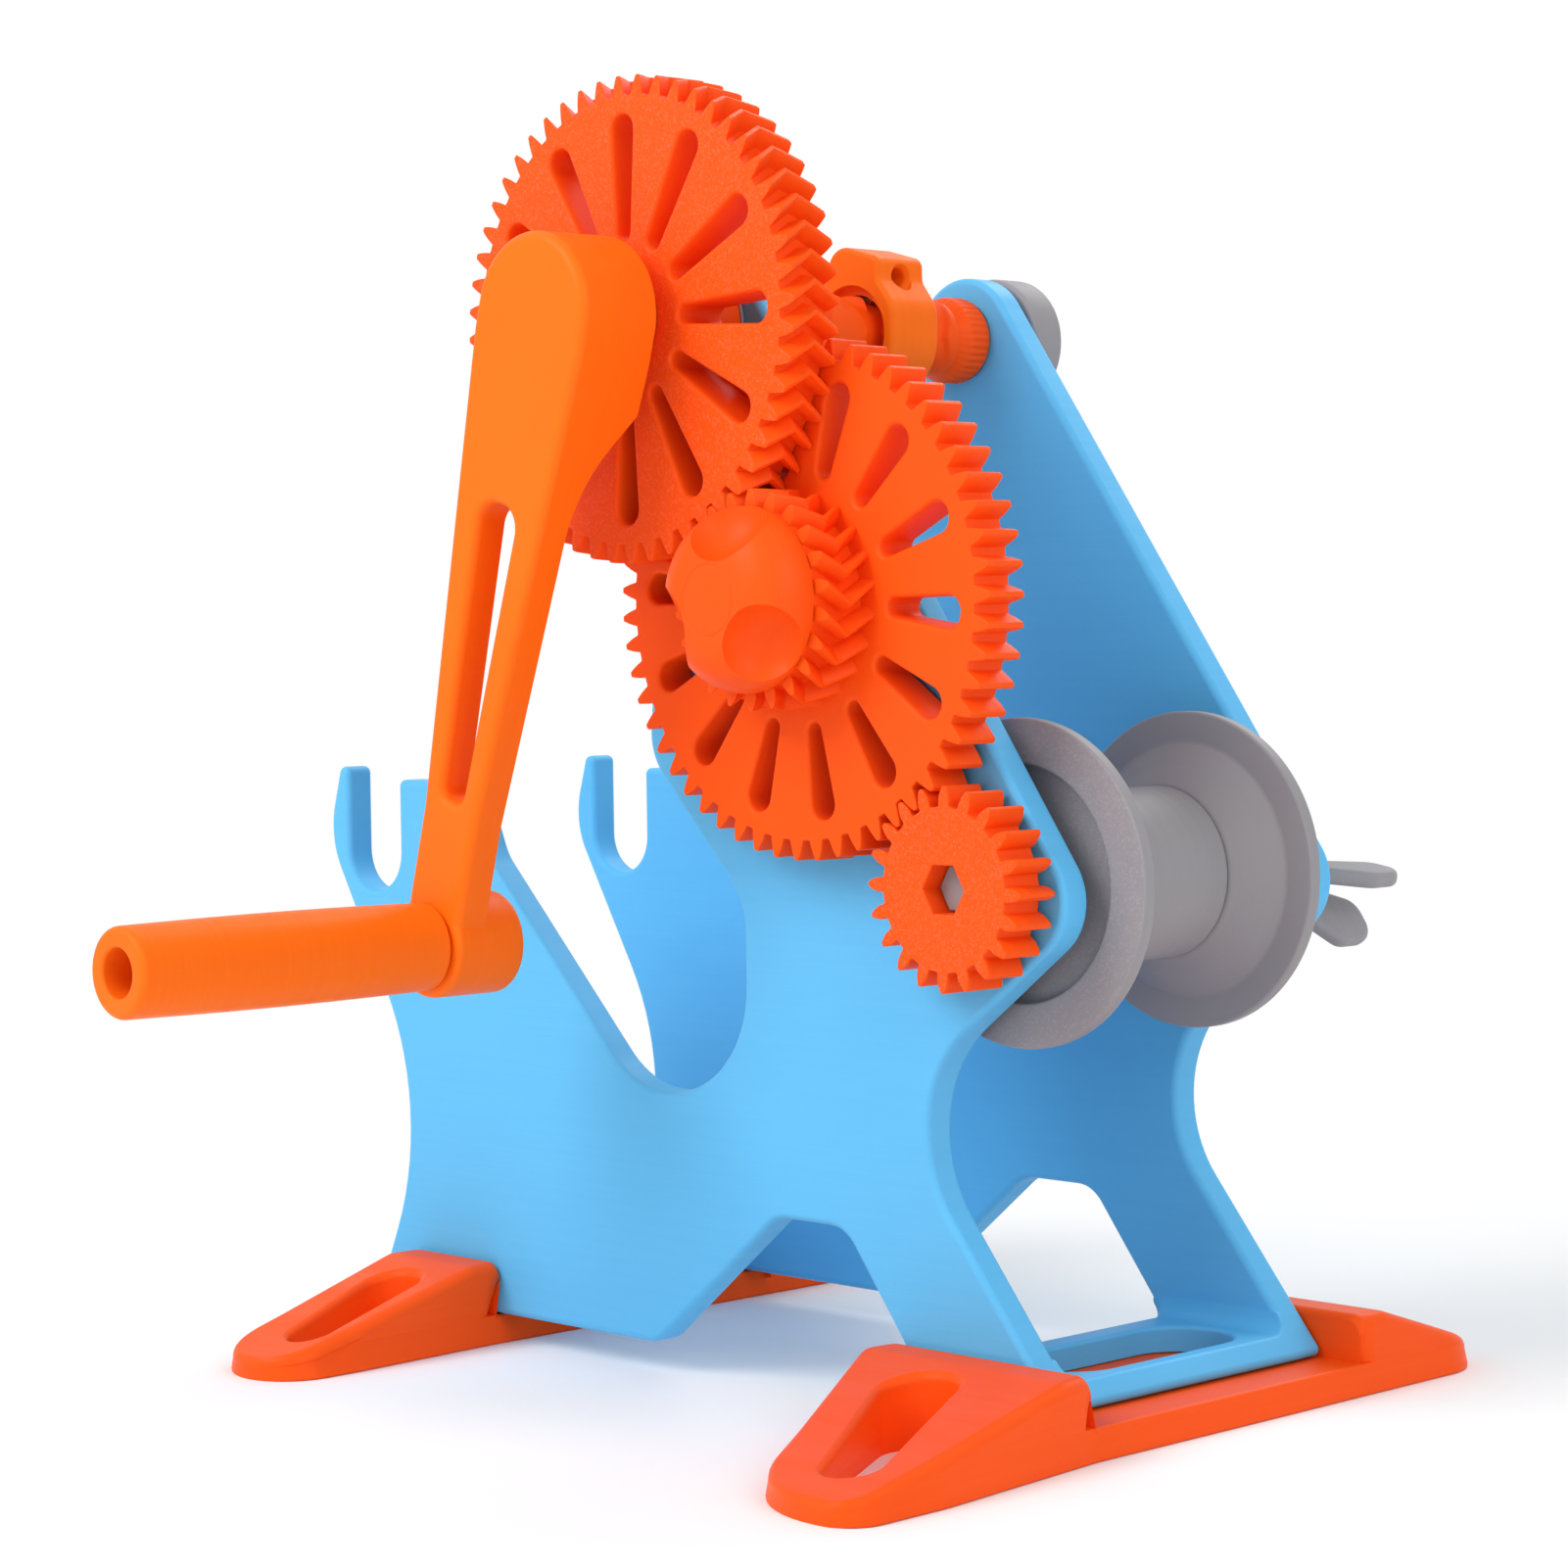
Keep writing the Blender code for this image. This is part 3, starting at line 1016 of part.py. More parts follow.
def add_thumb_nut(low):
    """Thumb nut on the far end of the axle: a hub with four rounded ears in two pairs."""
    high = low + NUT_HUB_LENGTH
    bore = AXLE_THREAD_RADIUS + GAP
    profile = [(bore, low), (NUT_HUB_RADIUS, low), (NUT_HUB_RADIUS, high - EDGE_ROUND),
               (NUT_HUB_RADIUS - EDGE_ROUND, high), (bore, high)]
    points, faces = turned_mesh(SPOOL_AXIS, profile, 24)
    nut = add_object("thumb_nut", points, faces, (SPOOL_AXIS[0], 0, SPOOL_AXIS[1]), GREY)
    root = (bore + NUT_HUB_RADIUS) / 2
    far = low + EAR_LENGTH
    ear = rounded_outline([(root, low + EDGE_ROUND, 0), (NUT_HUB_RADIUS * 1.3, low + EDGE_ROUND, EAR_ROUND),
                           (EAR_SPAN, low + EAR_LENGTH * 0.55, EAR_ROUND), (EAR_SPAN, far, EAR_ROUND),
                           (EAR_SPAN * 0.55, far, EAR_ROUND), (root, high - EDGE_ROUND, 0)], math.radians(30))
    for number, turn in enumerate((EAR_MIDDLE + EAR_SPREAD, EAR_MIDDLE - EAR_SPREAD,
                                   EAR_MIDDLE + EAR_SPREAD + math.pi, EAR_MIDDLE - EAR_SPREAD + math.pi)):
        points = []
        for across in (-EAR_THICKNESS / 2, EAR_THICKNESS / 2):
            for out, y in ear:
                points.append((SPOOL_AXIS[0] + out * math.cos(turn) - across * math.sin(turn), y,
                               SPOOL_AXIS[1] + out * math.sin(turn) + across * math.cos(turn)))
        tab = add_object("nut_ear_%d" % number, points, prism_faces(len(ear)), (0, 0, 0), GREY)
        cut(nut, tab, "UNION")


def main():
    clear_scene()
    add_side_plate("near_side_plate", PLATE_NEAR_OUT, PLATE_NEAR_IN)
    add_side_plate("far_side_plate", PLATE_FAR_IN, PLATE_FAR_OUT)
    rear_place = -ROD_REACH + REAR_FOOT_SETBACK
    add_cross_member("front_cross_member", -LEG_REAR, LEG_FRONT, True)
    add_cross_member("rear_cross_member", rear_place - REAR_CROSS_DEPTH / 2,
                     rear_place + REAR_CROSS_DEPTH / 2, False)
    reaches = (FRONT_NEAR_REACH, FRONT_FAR_REACH)
    plan = foot_plan(FRONT_FOOT_PLACE, FRONT_FOOT_WIDTH, FRONT_FOOT_FLARE, reaches,
                     FRONT_TIP_SHARE, FRONT_TIP_ROUNDS)
    add_foot("front_foot", FRONT_FOOT_PLACE, plan, FRONT_LIP_HEIGHT, reaches,
             FRONT_SLOT_WIDTHS, (FRONT_SLOT_SIDE_SHARE, FRONT_SLOT_SKEW_SHARE))
    reaches = (REAR_NEAR_REACH, REAR_FAR_REACH)
    plan = foot_plan(rear_place, REAR_FOOT_WIDTH, REAR_FOOT_FLARE, reaches,
                     REAR_TIP_SHARE, REAR_TIP_ROUNDS)
    add_foot("rear_foot", rear_place, plan, REAR_LIP_HEIGHT, reaches,
             REAR_SLOT_WIDTHS, (REAR_SLOT_SIDE_SHARE, REAR_SLOT_SKEW_SHARE))
    add_gears()
    add_crank()
    add_traverse_screw()
    add_stud()
    add_guide()
    add_cones()
    add_bush("screw_near_bush", CRANK_AXIS, SHAFT_RADIUS, PLATE_NEAR_OUT, PLATE_NEAR_IN, -1)
    add_bush("screw_far_bush", CRANK_AXIS, SHAFT_RADIUS, PLATE_FAR_IN, PLATE_FAR_OUT, 1)
    add_bush("axle_near_bush", SPOOL_AXIS, AXLE_RADIUS, PLATE_NEAR_OUT, PLATE_NEAR_IN, -1)
    add_bush("axle_far_bush", SPOOL_AXIS, AXLE_RADIUS, PLATE_FAR_IN, PLATE_FAR_OUT, 1)


main()
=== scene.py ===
"""Dressed model of a hand-cranked filament spool winder, printed in plastic.

Directions: +X runs along the side plates from the rod hooks to the spool axle, +Y runs from the crank side
to the thumb nut side, +Z is up. The origin lies on the sole of the front foot, under the spool axle and
midway between the side plates. Sizes are metres.
"""

import logging
import math
from dataclasses import dataclass
from enum import Enum
from typing import Callable, Optional, Sequence

import bmesh
import bpy
from mathutils import Matrix, Vector
from mathutils.geometry import tessellate_polygon


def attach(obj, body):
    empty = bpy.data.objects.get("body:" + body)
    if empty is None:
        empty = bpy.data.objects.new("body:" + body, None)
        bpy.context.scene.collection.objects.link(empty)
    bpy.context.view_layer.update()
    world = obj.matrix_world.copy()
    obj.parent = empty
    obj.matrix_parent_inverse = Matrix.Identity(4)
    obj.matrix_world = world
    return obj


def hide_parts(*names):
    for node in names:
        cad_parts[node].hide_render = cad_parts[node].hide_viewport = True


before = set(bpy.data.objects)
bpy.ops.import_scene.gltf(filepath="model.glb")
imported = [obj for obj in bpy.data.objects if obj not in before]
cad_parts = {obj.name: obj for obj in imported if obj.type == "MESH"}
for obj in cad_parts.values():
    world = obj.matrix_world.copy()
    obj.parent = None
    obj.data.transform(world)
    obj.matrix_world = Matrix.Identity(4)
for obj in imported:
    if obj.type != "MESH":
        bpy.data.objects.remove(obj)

LOG = logging.getLogger("winder")
Loop = list[tuple[float, float]]
Colour = tuple[float, float, float]
Place = tuple[float, float]
PIN_SIDES = 48
BORE_SIDES = 72
RIM_SIDES = 96
LEVEL_STEP = 1e-6
STATION_STEP = 1e-5
HAIR = 1e-9


class Body(Enum):
    """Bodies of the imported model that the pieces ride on."""

    FRAME = "frame"
    CRANK = "crank"
    HANDLE = "handle"
    COMPOUND = "compound"
    KNOB = "knob"
    SPOOL = "spool"
    NUT = "nut"
    GUIDE = "guide"
    PAWL = "pawl"


class Slot(Enum):
    """Material slots of the record."""

    BLUE = "blue_plastic"
    ORANGE = "orange_plastic"
    AMBER = "amber_plastic"
    GREY = "grey_plastic"


class LayerAxis(Enum):
    """Direction in which a piece was printed, layer on layer; the value is its place in a vector."""

    ALONG = 0
    ACROSS = 1
    UP = 2


class Grain(Enum):
    """Side of a piece that lay on the grainy print bed; the value is its direction along Y."""

    NONE = 0
    CRANK_SIDE = -1


class Work(Enum):
    """What a tool does to a piece; the value is the modeller's word for it."""

    CUT = "DIFFERENCE"
    JOIN = "UNION"
    TRIM = "INTERSECT"


class NodeBoard:
    """Short way to lay out the nodes of one material."""

    def __init__(self, name: str) -> None:
        """Start a material with its own shader.

        Args:
            name: Name of the material.
        """
        self.material = bpy.data.materials.new(name)
        self.material.use_nodes = True
        self.tree = self.material.node_tree
        self.shader = self.tree.nodes["Principled BSDF"]

    def node(self, kind: str, **settings: object) -> bpy.types.Node:
        """Add a node.

        Args:
            kind: Type of the node.
            settings: Attributes of the node.

        Returns:
            The new node.
        """
        made = self.tree.nodes.new(kind)
        for key, value in settings.items():
            setattr(made, key, value)
        return made

    def feed(self, source: object, target: object) -> None:
        """Link an output to an input, or write a constant into it.

        Args:
            source: Output socket or constant.
            target: Input socket.
        """
        if isinstance(source, bpy.types.NodeSocket):
            self.tree.links.new(source, target)
        else:
            target.default_value = source

    def math(self, operation: str, first: object, second: object = 0.0) -> bpy.types.NodeSocket:
        """Result of one sum between two values.

        Args:
            operation: Name of the sum.
            first: First value or socket.
            second: Second value or socket.

        Returns:
            The output socket.
        """
        made = self.node("ShaderNodeMath", operation=operation)
        self.feed(first, made.inputs[0])
        self.feed(second, made.inputs[1])
        return made.outputs[0]

    def spread(self, value: object, low: float, high: float, to_low: float, to_high: float,
               smooth: bool = False) -> bpy.types.NodeSocket:
        """Value carried over from one range to another and held within it.

        Args:
            value: Socket to carry over.
            low: Start of its range.
            high: End of its range.
            to_low: Start of the new range.
            to_high: End of the new range.
            smooth: Whether the ends are eased.

        Returns:
            The output socket.
        """
        made = self.node("ShaderNodeMapRange", interpolation_type="SMOOTHSTEP" if smooth else "LINEAR")
        for number, entry in enumerate((value, low, high, to_low, to_high)):
            self.feed(entry, made.inputs[number])
        return made.outputs[0]

    def noise(self, vector: object, scale: float, detail: float, rough: float = 0.5) -> bpy.types.NodeSocket:
        """Cloudy noise over a vector.

        Args:
            vector: Socket of the places.
            scale: Number of clouds in a metre of the vector.
            detail: Number of finer levels.
            rough: Weight of the finer levels.

        Returns:
            The noise value between 0 and 1.
        """
        made = self.node("ShaderNodeTexNoise")
        self.feed(vector, made.inputs["Vector"])
        made.inputs["Scale"].default_value = scale
        made.inputs["Detail"].default_value = detail
        made.inputs["Roughness"].default_value = rough
        return made.outputs["Fac"]

    def stretched(self, vector: object, scales: Sequence[float]) -> bpy.types.NodeSocket:
        """Vector with its own scale on each axis.

        Args:
            vector: Socket of the places.
            scales: Scale along X, Y and Z.

        Returns:
            The scaled vector.
        """
        made = self.node("ShaderNodeMapping")
        self.feed(vector, made.inputs["Vector"])
        made.inputs["Scale"].default_value = scales
        return made.outputs["Vector"]

    def blend(self, amount: object, first: object, second: object) -> bpy.types.NodeSocket:
        """Mix of two colours.

        Args:
            amount: Share of the second colour.
            first: First colour.
            second: Second colour.

        Returns:
            The mixed colour.
        """
        made = self.node("ShaderNodeMix", data_type="RGBA")
        sockets = [socket for socket in made.inputs if socket.type == "RGBA"]
        self.feed(amount, made.inputs[0])
        self.feed(first, sockets[0])
        self.feed(second, sockets[1])
        return next(socket for socket in made.outputs if socket.type == "RGBA")


@dataclass(frozen=True)
class PrintedPlastic:
    """Finish of a printed piece: colour, layers, and the grain of the side that lay on the bed, whose specks
    carry a painted glint.
    """

    name: str
    slot: Slot
    colour: Colour
    deep: Colour
    layers: LayerAxis
    grain: Grain = Grain.NONE
    layer_height: float = 0.0007
    layer_relief: float = 0.00005
    streak_length: float = 0.05
    grain_size: float = 0.0004
    grain_relief: float = 0.00007
    sheen_low: float = 0.36
    sheen_high: float = 0.50
    specular: float = 0.12

    def material(self) -> bpy.types.Material:
        """Node material of the finish, made once.

        Returns:
            The material.
        """
        held = bpy.data.materials.get(self.name)
        if held is not None:
            return held
        board = NodeBoard(self.name)
        places = board.node("ShaderNodeTexCoord")
        where = places.outputs["Object"]
        axis = self.layers.value
        streak = [1.0 / self.streak_length] * 3
        streak[axis] = 1.0 / (self.layer_height * 2.4)
        streaks = board.noise(board.stretched(where, streak), 1.0, 3.0, 0.6)
        clouds = board.noise(where, 1.0 / 0.045, 2.0)
        tone = board.math("ADD", board.spread(streaks, 0.25, 0.75, 0.0, 0.62),
                          board.spread(clouds, 0.3, 0.7, 0.0, 0.38))
        colour = board.blend(tone, (*self.colour, 1.0), (*self.deep, 1.0))
        ridges = [2.0] * 3
        ridges[axis] = 1.0 / self.layer_height
        relief = board.noise(board.stretched(where, ridges), 1.0, 2.0, 0.7)
        bump = board.node("ShaderNodeBump")
        bump.inputs["Strength"].default_value = 1.0
        bump.inputs["Distance"].default_value = self.layer_relief
        board.feed(relief, bump.inputs["Height"])
        rough = board.spread(streaks, 0.25, 0.75, self.sheen_low, self.sheen_high)
        normal = bump.outputs["Normal"]
        if self.grain is not Grain.NONE:
            colour, rough, normal = self.add_grain(board, places, colour, rough, normal)
        board.feed(colour, board.shader.inputs["Base Color"])
        board.feed(rough, board.shader.inputs["Roughness"])
        board.feed(normal, board.shader.inputs["Normal"])
        board.shader.inputs["Specular IOR Level"].default_value = self.specular
        board.material.diffuse_color = (*self.colour, 1.0)
        return board.material

    def add_grain(self, board: NodeBoard, places: bpy.types.Node, colour: bpy.types.NodeSocket,
                  rough: bpy.types.NodeSocket, normal: bpy.types.NodeSocket) -> tuple:
        """Lay the bed's grain over the faces that look along one side of Y: bumps and smoother specks, with
        the specks' colour lifted as a painted glint.

        Args:
            board: Nodes of the material.
            places: Texture coordinates.
            colour: Colour below the grain.
            rough: Roughness below the grain.
            normal: Normal below the grain.

        Returns:
            Colour with the painted glint, and roughness and normal with the grain on them.
        """
        parts = board.node("ShaderNodeSeparateXYZ")
        board.feed(places.outputs["Normal"], parts.inputs[0])
        facing = board.math("MULTIPLY", parts.outputs["Y"], float(self.grain.value))
        mask = board.spread(facing, 0.80, 0.96, 0.0, 1.0, True)
        cells = board.node("ShaderNodeTexVoronoi", feature="F1")
        board.feed(places.outputs["Object"], cells.inputs["Vector"])
        cells.inputs["Scale"].default_value = 1.0 / self.grain_size
        tint = board.node("ShaderNodeSeparateXYZ")
        board.feed(cells.outputs["Color"], tint.inputs[0])
        speck = board.spread(tint.outputs["X"], 0.60, 1.0, 0.0, 1.0, True)
        # Specks of the bed's grain on the faces that lay on it: they smooth the roughness and carry the
        # painted glint
        grain_and_glint = board.math("MULTIPLY", speck, mask)
        # Painted glint: the specks' colour is lifted towards a lighter tone of the plastic
        light = tuple(min(1.0, value + 0.08) for value in self.colour)
        colour = board.blend(board.math("MULTIPLY", grain_and_glint, 0.45), colour, (*light, 1.0))
        rough = board.math("SUBTRACT", rough, board.math("MULTIPLY", grain_and_glint, 0.12))
        bump = board.node("ShaderNodeBump")
        bump.inputs["Distance"].default_value = self.grain_relief
        board.feed(mask, bump.inputs["Strength"])
        board.feed(tint.outputs["Y"], bump.inputs["Height"])
        board.feed(normal, bump.inputs["Normal"])
        return colour, rough, bump.outputs["Normal"]


BLUE_COLOUR: Colour = (0.125, 0.51, 0.87)
BLUE_DEEP: Colour = (0.112, 0.48, 0.84)
ORANGE_COLOUR: Colour = (0.96, 0.098, 0.006)
ORANGE_DEEP: Colour = (0.93, 0.088, 0.005)
AMBER_COLOUR: Colour = (0.97, 0.170, 0.006)
AMBER_DEEP: Colour = (0.95, 0.152, 0.005)
GREY_COLOUR: Colour = (0.310, 0.300, 0.318)
GREY_DEEP: Colour = (0.290, 0.281, 0.298)

BLUE_UP = PrintedPlastic("blue_printed_up", Slot.BLUE, BLUE_COLOUR, BLUE_DEEP, LayerAxis.UP,
                         layer_relief=0.00003)
ORANGE_UP = PrintedPlastic("orange_printed_up", Slot.ORANGE, ORANGE_COLOUR, ORANGE_DEEP, LayerAxis.UP)
ORANGE_ACROSS = PrintedPlastic("orange_printed_across", Slot.ORANGE, ORANGE_COLOUR, ORANGE_DEEP,
                               LayerAxis.ACROSS)
ORANGE_BED = PrintedPlastic("orange_bed_side", Slot.ORANGE, ORANGE_COLOUR, ORANGE_DEEP, LayerAxis.ACROSS,
                            Grain.CRANK_SIDE)
AMBER_ACROSS = PrintedPlastic("amber_printed_across", Slot.AMBER, AMBER_COLOUR, AMBER_DEEP, LayerAxis.ACROSS)
AMBER_ALONG = PrintedPlastic("amber_printed_along", Slot.AMBER, AMBER_COLOUR, AMBER_DEEP, LayerAxis.ALONG)
GREY_ACROSS = PrintedPlastic("grey_printed_across", Slot.GREY, GREY_COLOUR, GREY_DEEP, LayerAxis.ACROSS)
GREY_BED = PrintedPlastic("grey_bed_side", Slot.GREY, GREY_COLOUR, GREY_DEEP, LayerAxis.ACROSS,
                          Grain.CRANK_SIDE, grain_size=0.0004)


def polar(centre: Place, radius: float, angle: float) -> Place:
    """Place at a distance and an angle from a centre."""
    return (centre[0] + radius * math.cos(angle), centre[1] + radius * math.sin(angle))


@dataclass(frozen=True)
class Layout:
    """Sizes that the sub-assemblies share, and the places that follow from them."""

    gap: float = 0.0003
    overrun: float = 0.002
    frame_gap: float = 0.075
    plate_thickness: float = 0.008
    sole_thickness: float = 0.0070
    spool_height: float = 0.1187
    gear_module: float = 0.002
    drive_teeth: int = 52
    pinion_teeth: int = 22
    wheel_teeth: int = 55
    spool_teeth: int = 20
    wheel_width: float = 0.011
    herringbone_width: float = 0.0138
    wheel_direction: float = math.radians(124.65)
    drive_direction: float = math.radians(122.1)
    crank_length: float = 0.1449
    crank_lean: float = math.radians(254.4)
    spacer_length: float = 0.0068
    hub_thickness: float = 0.0211
    shaft_radius: float = 0.0070
    axle_radius: float = 0.0072
    stud_radius: float = 0.0060
    bush_wall: float = 0.0020
    bush_flange: float = 0.0012
    screw_radius: float = 0.0090
    collar_length: float = 0.0162
    guide_length: float = 0.0162
    guide_rest: float = 0.86

    @property
    def near_out(self) -> float:
        """Outer face of the near side plate."""
        return -self.frame_gap / 2 - self.plate_thickness

    @property
    def near_in(self) -> float:
        """Inner face of the near side plate."""
        return -self.frame_gap / 2

    @property
    def far_in(self) -> float:
        """Inner face of the far side plate."""
        return self.frame_gap / 2

    @property
    def far_out(self) -> float:
        """Outer face of the far side plate."""
        return self.frame_gap / 2 + self.plate_thickness

    @property
    def plate_foot(self) -> float:
        """Height of the lower edge of the blue frame."""
        return self.sole_thickness + self.gap

    @property
    def spool_axis(self) -> Place:
        """Axis of the small spool in X and Z."""
        return (0.0, self.spool_height)

    @property
    def stud_axis(self) -> Place:
        """Axis of the compound gear in X and Z."""
        reach = self.gear_module * (self.wheel_teeth + self.spool_teeth) / 2
        return polar(self.spool_axis, reach, self.wheel_direction)

    @property
    def crank_axis(self) -> Place:
        """Axis of the crank, the drive gear and the screw in X and Z."""
        reach = self.gear_module * (self.drive_teeth + self.pinion_teeth) / 2
        return polar(self.stud_axis, reach, self.drive_direction)

    @property
    def handle_axis(self) -> Place:
        """Axis of the crank's grip in X and Z."""
        return polar(self.crank_axis, self.crank_length, self.crank_lean)

    @property
    def wheel_back(self) -> float:
        """Back of the spur gears, next to the near plate."""
        return self.near_out - self.bush_flange - self.gap

    @property
    def wheel_front(self) -> float:
        """Front of the spur gears."""
        return self.wheel_back - self.wheel_width

    @property
    def herringbone_back(self) -> float:
        """Back of the drive gear."""
        return self.wheel_front - self.gap

    @property
    def herringbone_front(self) -> float:
        """Front of the drive gear and of the pinion."""
        return self.herringbone_back - self.herringbone_width

    @property
    def hub_back(self) -> float:
        """Back of the crank's hub."""
        return self.herringbone_front - self.spacer_length

    @property
    def hub_front(self) -> float:
        """Front of the crank arm."""
        return self.hub_back - self.hub_thickness

    @property
    def socket_floor(self) -> float:
        """Bottom of the hub's socket for the shaft."""
        return self.hub_front + self.hub_thickness * 0.35

    @property
    def screw_start(self) -> float:
        """Crank side end of the screw's thread."""
        return self.near_in + self.gap

    @property
    def screw_end(self) -> float:
        """Nut side end of the screw's thread."""
        return self.far_in - self.collar_length - self.gap

    @property
    def guide_start(self) -> float:
        """Crank side face of the filament guide at rest."""
        return self.screw_start + (self.screw_end - self.screw_start - self.guide_length) * self.guide_rest

    @property
    def guide_middle(self) -> float:
        """Middle of the filament guide at rest."""
        return self.guide_start + self.guide_length / 2


def circle(centre: Place, radius: float, count: int) -> Loop:
    """Points of a circle, counter-clockwise."""
    return [polar(centre, radius, 2 * math.pi * k / count) for k in range(count)]


def rounded_outline(corners: Sequence[tuple[float, float, float]], step: float = math.radians(6)) -> Loop:
    """Outline whose corners become arcs tangent to their two sides.

    Args:
        corners: Places and radii of the corners.
        step: Angle between the points of an arc.

    Returns:
        The loop.
    """
    points: Loop = []
    count = len(corners)
    for k, (x, z, radius) in enumerate(corners):
        here = Vector((x, z))
        before = (Vector(corners[k - 1][:2]) - here).normalized()
        after = (Vector(corners[(k + 1) % count][:2]) - here).normalized()
        turn = math.pi - before.angle(after)
        reach = radius * math.tan(turn / 2)
        if reach == 0:
            points.append((x, z))
            continue
        centre = here + (before + after).normalized() * (radius / math.cos(turn / 2))
        start = here + before * reach - centre
        end = here + after * reach - centre
        first = math.atan2(start.y, start.x)
        sweep = math.atan2(start.x * end.y - start.y * end.x, start.dot(end))
        pieces = max(1, round(abs(sweep) / step))
        points.extend(polar(centre, radius, first + sweep * i / pieces) for i in range(pieces + 1))
    return points


def tapered_slot(start: Place, end: Place, start_radius: float, end_radius: float, steps: int = 12) -> Loop:
    """Slot outline with two round ends of different radius.

    Args:
        start: Centre of its first end.
        end: Centre of its second end.
        start_radius: Radius of its first end.
        end_radius: Radius of its second end.
        steps: Number of sides of a round end.

    Returns:
        The loop.
    """
    heading = math.atan2(end[1] - start[1], end[0] - start[0])
    length = math.hypot(end[0] - start[0], end[1] - start[1])
    lean = math.asin((end_radius - start_radius) / length)
    loop: Loop = []
    for place, radius, first, sweep in (
            (end, end_radius, heading - math.pi / 2 - lean, math.pi + 2 * lean),
            (start, start_radius, heading + math.pi / 2 + lean, math.pi - 2 * lean)):
        loop.extend(polar(place, radius, first + sweep * k / steps) for k in range(steps + 1))
    return loop


def wound(loop: Loop, left: bool) -> Loop:
    """Loop wound one way round."""
    area = sum(a[0] * b[1] - b[0] * a[1] for a, b in zip(loop, loop[1:] + loop[:1]))
    return loop if (area > 0) == left else loop[::-1]


def inset(loop: Loop, amount: float) -> Loop:
    """Loop moved to its left.

    Args:
        loop: The loop.
        amount: Distance of the move.

    Returns:
        The moved loop.
    """
    if amount == 0:
        return loop
    moved: Loop = []
    count = len(loop)
    for k in range(count):
        here = Vector(loop[k])
        side_in = (here - Vector(loop[k - 1])).normalized()
        side_out = (Vector(loop[(k + 1) % count]) - here).normalized()
        normal = Vector((-side_in.y - side_out.y, side_in.x + side_out.x))
        scale = 2 * amount / max(normal.length_squared, 1.0)
        moved.append((here.x + normal.x * scale, here.y + normal.y * scale))
    return moved


def edge_inset(depth: float, radius: float) -> float:
    """How far a rounded edge stands back at a depth below the face.

    Args:
        depth: Depth below the face.
        radius: Radius of the edge.

    Returns:
        Distance from the full outline.
    """
    if radius <= 0 or depth >= radius:
        return 0.0
    return radius - math.sqrt(radius * radius - (radius - max(0.0, depth)) ** 2)


def edge_depths(radius: float, steps: int) -> list[float]:
    """Depths at which a rounded edge is sampled.

    Args:
        radius: Radius of the edge.
        steps: Number of bands.

    Returns:
        Depths from the face inwards.
    """
    if radius <= 0:
        return [0.0]
    return [radius * (1 - math.cos(k * math.pi / 2 / steps)) for k in range(steps + 1)]


class MeshDraft:
    """Points and faces of a closed surface, built ring by ring."""

    def __init__(self) -> None:
        """Start without points."""
        self.points: list[tuple[float, float, float]] = []
        self.faces: list[tuple[int, ...]] = []

    def ring(self, y: float, loop: Loop) -> list[int]:
        """Add a loop in a plane across Y."""
        return self.row([(x, y, z) for x, z in loop])

    def row(self, places: Sequence[tuple[float, float, float]]) -> list[int]:
        """Add a ring of points.

        Args:
            places: The points.

        Returns:
            Their numbers.
        """
        first = len(self.points)
        self.points.extend(places)
        return list(range(first, len(self.points)))

    def walls(self, rows: Sequence[list[int]]) -> None:
        """Join rings that follow each other.

        Args:
            rows: Numbers of each ring.
        """
        for lower, upper in zip(rows, rows[1:]):
            count = len(lower)
            self.faces.extend((lower[k], lower[(k + 1) % count], upper[(k + 1) % count], upper[k])
                              for k in range(count))

    def column(self, rows: Sequence[list[int]]) -> None:
        """Join rings that follow each other, and close each end with one face."""
        self.walls(rows)
        self.faces.extend((tuple(rows[0]), tuple(rows[-1])))

    def cap(self, rings: Sequence[list[int]]) -> None:
        """Close the flat face across Y between an outer ring and its holes.

        Args:
            rings: Numbers of the outer ring and of the holes.
        """
        numbers = [k for ring in rings for k in ring]
        flat = [[Vector((self.points[k][0], self.points[k][2], 0.0)) for k in ring] for ring in rings]
        self.faces.extend(tuple(numbers[k] for k in triangle) for triangle in tessellate_polygon(flat))

    def item(self, name: str) -> bpy.types.Object:
        """Object of the drafted surface, with its normals outwards.

        Args:
            name: Name of the object.

        Returns:
            The new object.
        """
        mesh = bpy.data.meshes.new(name)
        mesh.from_pydata(self.points, [], self.faces)
        work = bmesh.new()
        work.from_mesh(mesh)
        bmesh.ops.recalc_face_normals(work, faces=work.faces)
        work.to_mesh(mesh)
        work.free()
        made = bpy.data.objects.new(name, mesh)
        bpy.context.scene.collection.objects.link(made)
        return made


